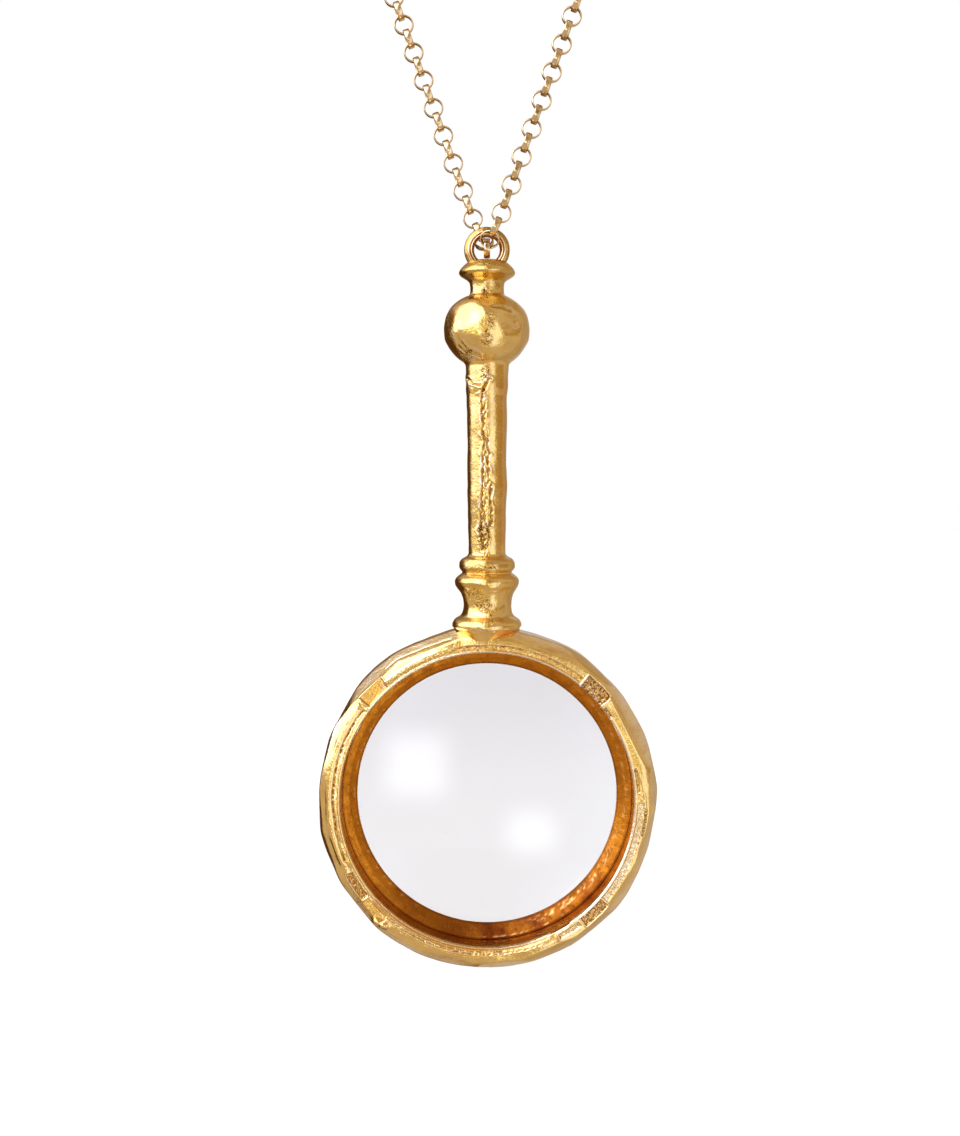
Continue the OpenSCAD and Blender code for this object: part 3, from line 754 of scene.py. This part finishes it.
def shapeHoop():
    points, angle, radius, depth = filedHoop()
    front = ramp(-depth, *hoop["frontSpan"])
    level, contrast = hoop["mottle"]
    mottled = level + contrast * noiseOf(hoop, "mottle", points)
    push, marks = sinkFields(points, angle, radius, front, mottled)
    push = chaseStrokes(points, angle, radius, front, mottled, push, marks)
    push = push + hoop["grainHeight"] * marks["grain"] * (
        noiseOf(hoop, "grain", points) - hoop["grainLevel"])
    push = push + ramp(radius, *hoop["handMadeFrom"]) * (
        hoop["handMade"] * noiseOf(hoop, "handMade", points)
        + hoop["handMadeFine"] * noiseOf(hoop, "handMadeFine", points))
    points = points + outwardNormals(points, True, True) * push[..., None]
    boreEdge, outside = edgeAndOutsideHighlights(points, angle, radius, depth)
    marks["worn"] = np.maximum(np.maximum(marks["worn"], boreEdge), outside) * hoop["shineMost"]
    # Painted amber shade on the bore's wall.
    warmShade, fade, full = hoop["boreShade"]
    face, fromBore = hoop["halfDepth"], radius - hoop["bore"]
    boreWall = ramp(-fromBore, -fade, -full) * ramp(depth, fade - face, 2 * fade - face)
    marks["amber"] = np.maximum(marks["amber"], warmShade * boreWall)
    return points + places["hoopMid"], marks


points, marks = shapeHoop()
makePiece("hoop", [(points, True, True)], "pendant", frameGold, marks, ("frame",))

# The hanging loop: a rounded bar bent to a ring, with a groove between two thin ridges on each face.
loop = {
    "outer": 2.85, "hole": 1.6, "thick": 1.2, "rounding": 0.42,
    "around": 150, "section": 84,
    "faceSpan": (0.35, 0.55),  # depth from the middle at which the ridges and the groove begin
    # The two ridges' radii, then the height and half width of each, and the strength and half width of its
    # shine.
    "ridges": (1.93, 2.27), "ridge": (0.08, 0.08), "ridgeShine": (0.8, 0.07),
    # The groove's radius, depth and half width, then the darkness of its painted shade and the half width
    # of that.
    "groove": (2.1, 0.10, 0.06), "grooveDark": (0.95, 0.07),
    "faceDarkening": (2.5, 0.6, 0.14),  # a ring of painted shade on the face: radius, strength, half width
    # Painted shade outside and inside, and painted amber shade inside: strength, and the radii over which
    # each grows.
    "outerDarkening": (0.58, 2.3, 2.4), "innerDarkening": (0.35, 1.9, 1.8), "amber": (0.6, 1.85, 1.70),
    "handMade": 0.03, "noises": {"handMade": (1.1, 31)},
}


def roundedBar(halfWide, halfThick, rounding, count):
    # (wide, thick) at even steps round a rectangle whose corners are quarter circles
    corner = np.linspace(0, np.pi / 2, 9)
    arcs = []
    for k, (sx, sy) in enumerate([(1, 1), (-1, 1), (-1, -1), (1, -1)]):
        turned = corner + k * np.pi / 2
        arcs.append(np.stack([sx * (halfWide - rounding) + rounding * np.cos(turned),
                              sy * (halfThick - rounding) + rounding * np.sin(turned)], -1))
    line = np.concatenate(arcs + [arcs[0][:1]])
    return pointsAt(line, np.linspace(0, lengthAlong(line)[-1], count, endpoint=False))


def shapeLoop():
    # The bar's section carried round the hole's axis, which runs from front to back.
    half = (loop["outer"] - loop["hole"]) / 2
    bar = roundedBar(half, loop["thick"] / 2, loop["rounding"], loop["section"]) + (loop["hole"] + half, 0)
    points, angle, radius, depth = carriedRound(bar, loop["around"])
    onFace = ramp(np.abs(depth), *loop["faceSpan"])
    (ridgeHigh, ridgeWide), (shine, shineWide) = loop["ridge"], loop["ridgeShine"]
    (grooveAt, grooveDeep, grooveWide), (dark, darkWide) = loop["groove"], loop["grooveDark"]
    lift = sum(ridgeHigh * bump(radius - at, ridgeWide) for at in loop["ridges"])
    lift = lift - grooveDeep * bump(radius - grooveAt, grooveWide)
    # Painted highlights on the ridges, painted shade elsewhere, and painted amber shade in the hole.
    worn = sum(shine * bump(radius - at, shineWide) for at in loop["ridges"]) * onFace
    darkeningAt, paintedDarkening, darkeningWide = loop["faceDarkening"]
    paintedShade = np.maximum(dark * bump(radius - grooveAt, darkWide),
                        paintedDarkening * bump(radius - darkeningAt, darkeningWide)) * onFace
    (outer, outerFrom, outerTo), (inner, innerFrom, innerTo) = loop["outerDarkening"], loop["innerDarkening"]
    paintedShade = np.maximum(paintedShade, outer * ramp(radius, outerFrom, outerTo) + inner * ramp(
        -radius, -innerFrom, -innerTo))
    warmShade, warmShadeFrom, warmShadeTo = loop["amber"]
    amber = warmShade * ramp(-radius, -warmShadeFrom, -warmShadeTo)
    points[..., 1] += np.sign(depth) * lift * onFace
    uneven = loop["handMade"] * noiseOf(loop, "handMade", points)
    points = points + outwardNormals(points, True, True) * uneven[..., None]
    return points + places["loopMid"], {"grain": 0 * paintedShade, "paintedShade": paintedShade, "amber": amber, "worn": worn}


points, marks = shapeLoop()
makePiece("loop", [(points, True, True)], "pendant", frameGold, marks, ("frame",))

# The turned ring that holds the glass, as (radius, depth behind the handle's axis) round its section.
lensRing = {
    "section": [(18.05, 0.0), (17.9, 0.0), (17.2, 0.36), (16.5, 0.88), (16.34, 1.02), (16.3, 1.08),
                (16.3, 1.2), (16.9, 1.38), (17.55, 1.52), (17.55, 2.46), (16.75, 2.5), (16.7, 2.78),
                (16.9, 2.86), (17.85, 2.9), (18.05, 2.76)],
    "around": 360, "across": 70,
    "face": (17.9, 1.0),  # the slope in front lies inside this radius and this depth
    "turnedHeight": 0.015, "unevenHeight": 0.02, "turnedDrawn": (0.25, 1, 0.25),
    "streaks": (0.35, 0.1, 0.6), "streakDrawn": (1, 0.3, 1),  # grain on the face: strength, ease on noise
    # Painted shade on the ring: where it is darkest, how far that reaches, and the share of the reach that
    # is fully dark; then the least and the varied strength of its patches.
    "paintedDarkening": (285, 75, 0.3), "darkeningPatches": (0.85, 0.3),
    "glintMost": 0.8, "fineGlints": 0.5, "glintEase": (0.1, 0.55), "glintFull": 0.6,
    # Bands of glints: radius, half width, middle angle, reach in degrees.
    "glints": [(16.9, 0.28, 318, 34), (17.75, 0.07, 285, 22), (16.6, 0.12, 185, 60), (17.3, 0.15, 20, 40)],
    "paintedEdgeShade": [(17.95, 0.08, 0.6), (16.42, 0.05, 0.5)],  # painted shade near the edges: radius, half width, darkness
    "noises": {"turned": (0.35, 41), "uneven": (0.5, 42), "paintedDarkening": (1.6, 43), "streak": (0.5, 44),
               "glint": (0.26, 45), "fineGlint": (0.15, 46)},
}


def ringGlints(points, angle, radius):
    # Painted highlights in bell-shaped bands round the ring, broken up by noise.
    glints = 0 * radius
    for at, wide, middle, reach in lensRing["glints"]:
        away = np.abs(angleFrom(angle, middle))
        glints = glints + bump(radius - at, wide) * (1 - ramp(away, lensRing["glintFull"] * reach, reach))
    broken = noiseOf(lensRing, "glint", points)
    broken = broken + lensRing["fineGlints"] * noiseOf(lensRing, "fineGlint", points)
    return lensRing["glintMost"] * glints * ramp(broken, *lensRing["glintEase"])


def shapeLensRing():
    # The section carried round the level axis through the glass.
    corners = np.array(lensRing["section"] + lensRing["section"][:1])
    along = lengthAlong(corners)
    steps = np.linspace(0, along[-1], lensRing["across"], endpoint=False)
    section = pointsAt(corners, np.unique(np.concatenate([steps, along[:-1]])))
    points, angle, radius, depth = carriedRound(section, lensRing["around"])
    faceRadius, faceDepth = lensRing["face"]
    face = (radius < faceRadius) & (depth < faceDepth)
    turned = noiseOf(lensRing, "turned", points * lensRing["turnedDrawn"])
    points[..., 1] += face * (lensRing["turnedHeight"] * turned
                              + lensRing["unevenHeight"] * noiseOf(lensRing, "uneven", points))
    # Painted shade, darkest near the bottom, in patches.
    darkest, spread, full = lensRing["paintedDarkening"]
    least, varied = lensRing["darkeningPatches"]
    paintedDarkening = 1 - ramp(np.abs(angleFrom(angle, darkest)), full * spread, spread)
    paintedDarkening = paintedDarkening * (least + varied * noiseOf(lensRing, "paintedDarkening", points))
    strength, *ease = lensRing["streaks"]
    streaks = strength * face * ramp(noiseOf(lensRing, "streak", points * lensRing["streakDrawn"]), *ease)
    # Painted shade near the ring's edges.
    paintedEdgeShade = sum(dark * bump(radius - at, wide) for at, wide, dark in lensRing["paintedEdgeShade"])
    return points + places["hoopMid"], {"grain": streaks, "paintedShade": paintedEdgeShade, "amber": paintedDarkening,
                                        "worn": ringGlints(points, angle, radius)}


points, marks = shapeLensRing()
makePiece("lensRing", [(points, True, True)], "pendant", ringGold, marks, ("lens_ring",),
          sharpAt=50)

# The glass: two shallow domes and a ground rim.
lens = {
    "radius": 17.5, "edge": 1.0, "bulge": 1.2, "rimFront": 1.4,
    "rings": 60, "around": 192,
    "clear": (0.787, 0.79, 0.815), "clearUpper": (0.735, 0.735, 0.775),  # its tint below, and above, where a darker tint is painted shade
    "upperSpan": (-2, 15),  # heights between which one tint eases into the other
    "dust": (0.42, 0.39, 0.39), "dustSize": 0.35, "dustEase": (0.795, 0.83),
    "rough": 0.02, "index": 1.52,
}


def shapeLens():
    # depth = bulge height of a sphere through the rim, on both faces
    curve = (lens["radius"] ** 2 + lens["bulge"] ** 2) / (2 * lens["bulge"])
    radius = lens["radius"] * np.sin(np.linspace(0, np.pi / 2, lens["rings"]))
    dome = np.sqrt(curve ** 2 - radius ** 2) - (curve - lens["bulge"])
    rim = np.linspace(0, lens["edge"], 5)[1:-1]
    line = np.concatenate([
        np.stack([radius, lens["rimFront"] - dome], -1),
        np.stack([np.full(rim.shape, lens["radius"]), lens["rimFront"] + rim], -1),
        np.stack([radius, lens["rimFront"] + lens["edge"] + dome], -1)[::-1]])
    points = carriedRound(line, lens["around"])[0]
    # A mark for the painted shade on the upper part.
    return points + places["hoopMid"], {"paintedShadeAbove": ramp(points[..., 2], *lens["upperSpan"])}


def glassFinish():
    # Clear glass with a faint cool tint, painted shade that darkens its upper part, and a few specks of
    # dust.
    finish = newFinish("lens_glass")
    specks = finish.eased(finish.cloud(finish.here(), lens["dustSize"], detail=1.0), *lens["dustEase"])
    clear = finish.blend(finish.mark("paintedShadeAbove"), lens["clear"], lens["clearUpper"])
    finish.surface(finish.add("BsdfPrincipled", None, {
        "Base Color": finish.blend(specks, clear, lens["dust"]), "Metallic": 0.0,
        "Roughness": lens["rough"], "IOR": lens["index"], "Transmission Weight": 1.0}))
    return finish.owner


points, marks = shapeLens()
makePiece("lensGlass", [(points, True, False)], "pendant", glassFinish(), marks, ("lens",),
          weld=True, sharpAt=40)

# The chain: round links bent from flat strip, on two straight strands and round the neck. The first links
# of the right-hand strand are placed from the lowest link, because they lie a little askew.
chain = {
    "outer": 1.25, "strip": 0.19, "width": 0.78,
    "crown": 0.03, "corner": 0.05,  # how far the strip's edges fall away, and their rounding
    "pitch": 1.85,
    "angle": 19.7,  # between each strand and the upright
    "count": 97,
    # The first three links over the lowest one: places from it, and how far the first two lie askew.
    "first": (0.38, -1.12, 1.04), "firstTurn": (32, 11),
    "second": (1.08, -1.9, 2.4), "secondTurn": 23.8,
    "third": (1.77, -1.86, 4.07),
    "nearLinks": 17,  # links of each strand that get the finer form
    "around": {"near": 48, "far": 16, "neck": 12}, "barPoints": 20,
    "neckScale": 0.985,
    # The hidden way round the neck on the right, from the top of the strand to the clasp.
    "backRoute": [
        (64.5, -129, -1.5), (66.5, -126, 4.5), (68, -120, 9.5), (69, -111, 12.5), (69.5, -100, 13.5),
        (69, -86, 13), (67.5, -70, 11.5), (64.5, -54, 10), (59.5, -39, 8), (52, -26, 6),
        (42, -15, 4), (30, -7, 2), (18, -2, 0.5), (7.1, 0, 0)],
    "pastEnd": (-7, 0, 0),  # the way the route would go on
    "routeSteps": 24,
    "outside": 0.1,  # what lies this far below the outer radius still counts as the outside
    # Two painted dark reflections on the outside: size, strength, squeeze along the link's axis. The first
    # lies within a shift of the middle, the second at one side. Their strength varies, and under 0 there is
    # none.
    "darkReflection": (0.2, 1.0, 1.0), "secondDarkReflection": (0.16, 0.7, 0.6), "secondAt": -0.7,
    "darkReflectionShift": 0.25, "shiftSqueeze": 0.4, "darkReflectionRange": (-0.3, 1.0),
    "overlapShade": (0.7, 0.9),  # painted amber shade inside, where the next link lies: half width, strength
}


def strandLinks():
    # Middles and turns of the right-hand strand's links, counted from the loop.
    low, third = np.array(places["lowLink"]), np.array(chain["third"])
    length = chain["count"] * chain["pitch"]
    slope = math.radians(chain["angle"])
    direction = np.array([math.sin(slope), -third[1] / length, math.cos(slope)])
    steps = np.arange(chain["count"] + 1)
    line = low + third + steps[:, None] * chain["pitch"] * direction
    faceOn, edgeOn = turn(90), turn(0, 90 + chain["angle"])
    turns = np.where((steps % 2 == 0)[:, None, None], faceOn, edgeOn)
    middles = np.concatenate([[low + chain["first"], low + chain["second"]], line])
    turns = np.concatenate([[turn(90 + chain["firstTurn"][0], 0, -chain["firstTurn"][1]),
                             turn(0, 90 + chain["secondTurn"])], turns])
    return middles, turns


def turnedAbout(middles, turns):
    # The left-hand strand is the right-hand one, half a turn about the upright through the lowest link.
    low, half = np.array(places["lowLink"]), np.diag([-1.0, -1.0, 1.0])
    return (middles - low) @ half + low, half @ turns


def mirrored(middles, turns):
    # The left half of the hidden chain is the right half seen in a mirror.
    return middles * [-1, 1, 1], np.diag([-1.0, 1.0, 1.0]) @ turns


def backLinks(start):
    # Middles at even steps of length on a smooth curve through the route; each link stands at right
    # angles to the one before it.
    route = np.array([start] + chain["backRoute"])
    padded = np.concatenate([[2 * route[0] - route[1]], route, [route[-1] + chain["pastEnd"]]])
    t = np.linspace(0, 1, chain["routeSteps"], endpoint=False)[None, :, None]
    p, q, r, s = (padded[k:k + len(route) - 1][:, None] for k in range(4))
    curve = 0.5 * (2 * q + t * (r - p) + t * t * (2 * p - 5 * q + 4 * r - s)
                   + t ** 3 * (3 * q - p - 3 * r + s))
    curve = np.concatenate([curve.reshape(-1, 3), route[-1:]])
    length = lengthAlong(curve)[-1]
    count = 2 * round((length / chain["pitch"]) / 2) + 1
    middles = pointsAt(curve, np.linspace(0, length, count))
    run = np.gradient(middles, axis=0)
    run[-1] = (-1, 0, 0)
    run /= np.linalg.norm(run, axis=1, keepdims=True)
    side = np.cross([0, 0, 1], run)
    side /= np.linalg.norm(side, axis=1, keepdims=True)
    up = np.cross(run, side)
    odd = (np.arange(count) % 2 == 0)[:, None]
    axis = np.where(odd, up, side)
    return middles, np.stack([run, np.cross(axis, run), axis], -1)


def linkForm(around, fine):
    # A strip's section carried round a circle; the section is a crowned rectangle.
    outer, inner, half = chain["outer"], chain["outer"] - chain["strip"], chain["width"] / 2
    shoulder = outer - chain["crown"]
    if fine:
        bar = roundedBar(chain["strip"] / 2, half, chain["corner"], chain["barPoints"])
        fall = np.where(bar[:, 0] > 0, chain["crown"] * (bar[:, 1] / half) ** 2, 0)
        bar[:, 0] += outer - chain["strip"] / 2 - fall
    else:
        bar = np.array([[inner, -half], [shoulder, -half], [outer, 0], [shoulder, half], [inner, half]])
    angle = np.linspace(0, 2 * np.pi, around, endpoint=False)[:, None]
    return np.stack([bar[:, 0] * np.cos(angle), bar[:, 0] * np.sin(angle), bar[:, 1] + 0 * angle], -1)


def linkMarks(form, count, seed):
    # Painted dark reflections outside most links, and painted amber shade inside, where the next links lie.
    random = np.random.default_rng(seed)
    strength = random.uniform(*chain["darkReflectionRange"], count).clip(0)[:, None, None]
    shift = random.uniform(-chain["darkReflectionShift"], chain["darkReflectionShift"], (2, count))[:, :, None, None]
    x, y, z = (form[None, ..., k] for k in range(3))
    outside = np.hypot(x, y) > chain["outer"] - chain["outside"]
    size, dark, squeeze = chain["darkReflection"]
    fromFirst = np.hypot(x - shift[0], squeeze * z - chain["shiftSqueeze"] * shift[1])
    first = dark * bump(fromFirst, size)
    size, dark, squeeze = chain["secondDarkReflection"]
    second = dark * bump(np.hypot(x - chain["secondAt"], squeeze * z), size)
    darkReflection = strength * np.maximum(first, second) * outside
    halfWidth, warmShade = chain["overlapShade"]
    paintedLightAndShade = warmShade * bump(y, halfWidth) * ~outside + 0 * strength
    return {"grain": 0 * darkReflection, "paintedShade": darkReflection, "amber": paintedLightAndShade, "worn": 0 * darkReflection}


def laidOut(form, middles, turns):
    # One copy of the form for each link, turned and moved into place.
    return np.einsum("nij,rcj->nrci", turns, form) + middles[:, None, None]


def makeLinks(name, form, middles, turns, node, seed, sharpAt=None):
    makePiece(name, [(laidOut(form, middles, turns), True, True)], "chain", chainGold,
              linkMarks(form, len(middles), seed), (node,), sharpAt=sharpAt)


rightMiddles, rightTurns = strandLinks()
leftMiddles, leftTurns = turnedAbout(rightMiddles, rightTurns)
near, last = chain["nearLinks"] + 2, chain["count"] + 2
makeLinks("nearLinks", linkForm(chain["around"]["near"], True),
          np.concatenate([[places["lowLink"]], rightMiddles[:near], leftMiddles[:near]]),
          np.concatenate([[turn(0, 90)], rightTurns[:near], leftTurns[:near]]), "chain_front", 51)
makeLinks("strandLinks", linkForm(chain["around"]["far"], False),
          np.concatenate([rightMiddles[near:last], leftMiddles[near:last]]),
          np.concatenate([rightTurns[near:last], leftTurns[near:last]]), "chain_front", 52, sharpAt=40)

hiddenMiddles, hiddenTurns = backLinks(rightMiddles[-1])
hiddenForm = linkForm(chain["around"]["neck"], False) * chain["neckScale"]
neckMarks = linkMarks(hiddenForm, len(hiddenMiddles), 53)
bothSides = [(laidOut(hiddenForm, hiddenMiddles, hiddenTurns), True, True),
             (laidOut(hiddenForm, *mirrored(hiddenMiddles, hiddenTurns)), True, True)]
makePiece("neckLinks", bothSides, "chain", chainGold,
          {mark: np.tile(values, (2, 1, 1)) for mark, values in neckMarks.items()}, ("chain_back",),
          sharpAt=40)

# The barrel clasp at the nape, turned about a level axis, with an eye at each end.
clasp = {
    "length": 9.0, "radius": 1.79,
    "endRound": [(0.5, 0), (0.15, 0.2), (0, 0.5)],  # how far from the end, and how far below the barrel
    "seam": (0.15, 0.2), "band": (3.15, 0.15, 0.15),  # grooves: the band's place, then half width and depth
    "eye": 1.1, "wire": 0.35, "eyeAt": 5.4,  # radii of the eye's ring and of its wire, and its place
    "levels": 120, "around": 48, "eyeAround": 40, "wireAround": 12,
}


def shapeClasp():
    # radius(length) carried round the level axis, and a torus at each end
    half, r = clasp["length"] / 2, clasp["radius"]
    (seam, seamDeep), (band, bandHalf, bandDeep) = clasp["seam"], clasp["band"]
    right = [(seam, r), (band - bandHalf, r), (band, r - bandDeep), (band + bandHalf, r)]
    right += [(half - fromEnd, r - below) for fromEnd, below in clasp["endRound"]] + [(half, 0)]
    left = [(-along, radius) for along, radius in right[::-1]]
    line = smoothThrough(left + [(0, r - seamDeep)] + right, clasp["levels"])
    angle = np.linspace(0, 2 * np.pi, clasp["around"], endpoint=False)[None]
    along, radius = line[:, 0][:, None], line[:, 1][:, None]
    barrel = np.stack([along + 0 * angle, radius * np.cos(angle), radius * np.sin(angle)], -1)
    spin = np.linspace(0, 2 * np.pi, clasp["eyeAround"], endpoint=False)[:, None]
    tube = np.linspace(0, 2 * np.pi, clasp["wireAround"], endpoint=False)[None]
    reach = clasp["eye"] + clasp["wire"] * np.cos(tube)
    rise = clasp["wire"] * np.sin(tube) + 0 * spin
    eye = np.stack([reach * np.cos(spin), rise, reach * np.sin(spin)], -1)
    eyes = np.stack([eye + (clasp["eyeAt"], 0, 0), eye - (clasp["eyeAt"], 0, 0)])
    return [(barrel, False, True), (eyes, True, True)]


makePiece("barrelClasp", shapeClasp(), "chain", claspGold, {}, ("clasp",), weld=True)

# Studio: a pale floor well under the pendant and a soft surround with bright and dark panels.
studio = {
    "floorZ": -0.45, "floorReach": 6.0,  # in metres
    "surround": (0.60, 0.50, 0.41),
    # Panels as seen from the pendant, in degrees: azimuth from the front (right is positive), half width,
    # height, half height, how soft the edge is, and its light.
    "panels": [(140, 20, 0, 95, 15, (0.46, 0.37, 0.27)), (175, 20, 0, 95, 15, (0.55, 0.50, 0.45)),
               (-175, 20, 0, 95, 15, (0.28, 0.18, 0.09)), (150, 52, 62, 34, 12, (0.45, 0.32, 0.18)),
               (78, 26, 2, 7, 6, (0.42, 0.28, 0.13)), (-62, 52, 37, 35, 10, (2.0, 2.1, 2.7)),
               (-34, 18, 28, 20, 10, (3.6, 3.7, 4.3)), (-84, 14, 14, 9, 8, (3.0, 3.1, 3.6)),
               (10, 14, 50, 35, 8, (0.46, 0.34, 0.22)), (31, 15, -22, 36, 8, (1.3, 1.36, 1.6)),
               (-137, 28, -10, 32, 9, (0.09, 0.04, 0.012)), (-11, 4.6, -8.6, 4.6, 3.2, (4.6, 4.6, 4.8)),
               (7, 3.6, -19, 3.0, 3.2, (4.2, 4.2, 4.4))],
    "sky": 0.7, "skyAngle": 120,  # even light from above for the floor alone
    # The floor's paper: tone near and far, painted light that is darker near and brighter far, where it
    # changes in metres behind the middle, and its clouds.
    "paperNear": (0.88, 0.90, 0.835), "paperFar": (0.96, 0.99, 0.915), "paperEase": (0.64, 0.86),
    "paperCloud": (0.1, 60), "paperRough": 0.9,
}


def setWorld():
    # Each panel is laid over what is behind it, by the product of one soft mask across and one upwards.
    world = bpy.data.worlds.new("studio")
    bpy.context.scene.world = world
    finish = Finish(world)
    direction = finish.add("TexCoord", output="Generated")
    x, y, z = (finish.add("SeparateXYZ", None, {"Vector": direction}, output=k) for k in range(3))
    toDegrees = 180 / math.pi
    azimuth = finish.maths("ARCTAN2", x, 0 - y) * toDegrees
    height = finish.maths("ARCSINE", z) * toDegrees
    light = studio["surround"]
    for toward, halfWide, level, halfHigh, soft, colour in studio["panels"]:
        beside = finish.maths("ABSOLUTE", azimuth - toward)
        above = finish.maths("ABSOLUTE", height - level)
        mask = finish.eased(beside, halfWide + soft, halfWide - soft) * finish.eased(
            above, halfHigh + soft, halfHigh - soft)
        light = finish.blend(mask, light, colour)
    seen = finish.add("LightPath", output="Is Camera Ray")
    room = finish.add("Background", None, {"Color": light, "Strength": 1.0})
    white = finish.add("Background", None, {"Color": (1, 1, 1, 1), "Strength": 1.0})
    finish.surface(finish.add("MixShader", None, {0: seen, 1: room, 2: white}))


def addStage(name, corners, material):
    mesh = bpy.data.meshes.new(name)
    mesh.from_pydata(corners, [], [(0, 1, 2, 3)])
    mesh.update()
    thing = bpy.data.objects.new(name, mesh)
    bpy.context.scene.collection.objects.link(thing)
    mesh.materials.append(material)
    return thing


def floorFinish():
    finish = newFinish("floor_paper")
    back = finish.add("SeparateXYZ", None, {"Vector": finish.here()}, output=1)
    high, size = studio["paperCloud"]
    tone = finish.eased(back + high * finish.cloud(finish.here(), size, detail=3.0), *studio["paperEase"])
    colour = finish.blend(tone, studio["paperNear"], studio["paperFar"])
    finish.surface(finish.add("BsdfPrincipled", None, {
        "Base Color": colour, "Roughness": studio["paperRough"]}))
    return finish.owner


setWorld()
reach, floorZ = studio["floorReach"], studio["floorZ"]
floor = addStage("floor", [(-reach, -reach, floorZ), (reach, -reach, floorZ), (reach, reach, floorZ),
                           (-reach, reach, floorZ)], floorFinish())
floor.visible_glossy = False  # the gold mirrors the studio's panels alone
sky = bpy.data.lights.new("sky", "SUN")
sky.energy, sky.angle = studio["sky"], math.radians(studio["skyAngle"])
skyLamp = bpy.data.objects.new("sky", sky)
skyLamp.visible_glossy = False
bpy.context.scene.collection.objects.link(skyLamp)
print("studio lit")

# The camera is level, 39 mm over the glass's middle, and looks straight back past the pendant.
view = {
    "away": 168.1, "overHoop": 39.35,
    "lens": 42.62, "sensor": 36.0,
    "shift": (-7, -88), "photoHeight": 1136,  # in the photo's pixels
    "nearest": 0.005,  # in metres
}
cameraData = bpy.data.cameras.new("camera")
cameraData.lens, cameraData.sensor_width, cameraData.sensor_fit = view["lens"], view["sensor"], "AUTO"
cameraData.shift_x, cameraData.shift_y = (shift / view["photoHeight"] for shift in view["shift"])
cameraData.clip_start = view["nearest"]
camera = bpy.data.objects.new("camera", cameraData)
hoopX, hoopY, hoopZ = places["hoopMid"]
camera.location = (hoopX * mm, (hoopY - view["away"]) * mm, (hoopZ + view["overHoop"]) * mm)
camera.rotation_euler = (math.pi / 2, 0, 0)
bpy.context.scene.collection.objects.link(camera)
bpy.context.scene.camera = camera
bpy.context.scene.view_settings.view_transform = "Standard"
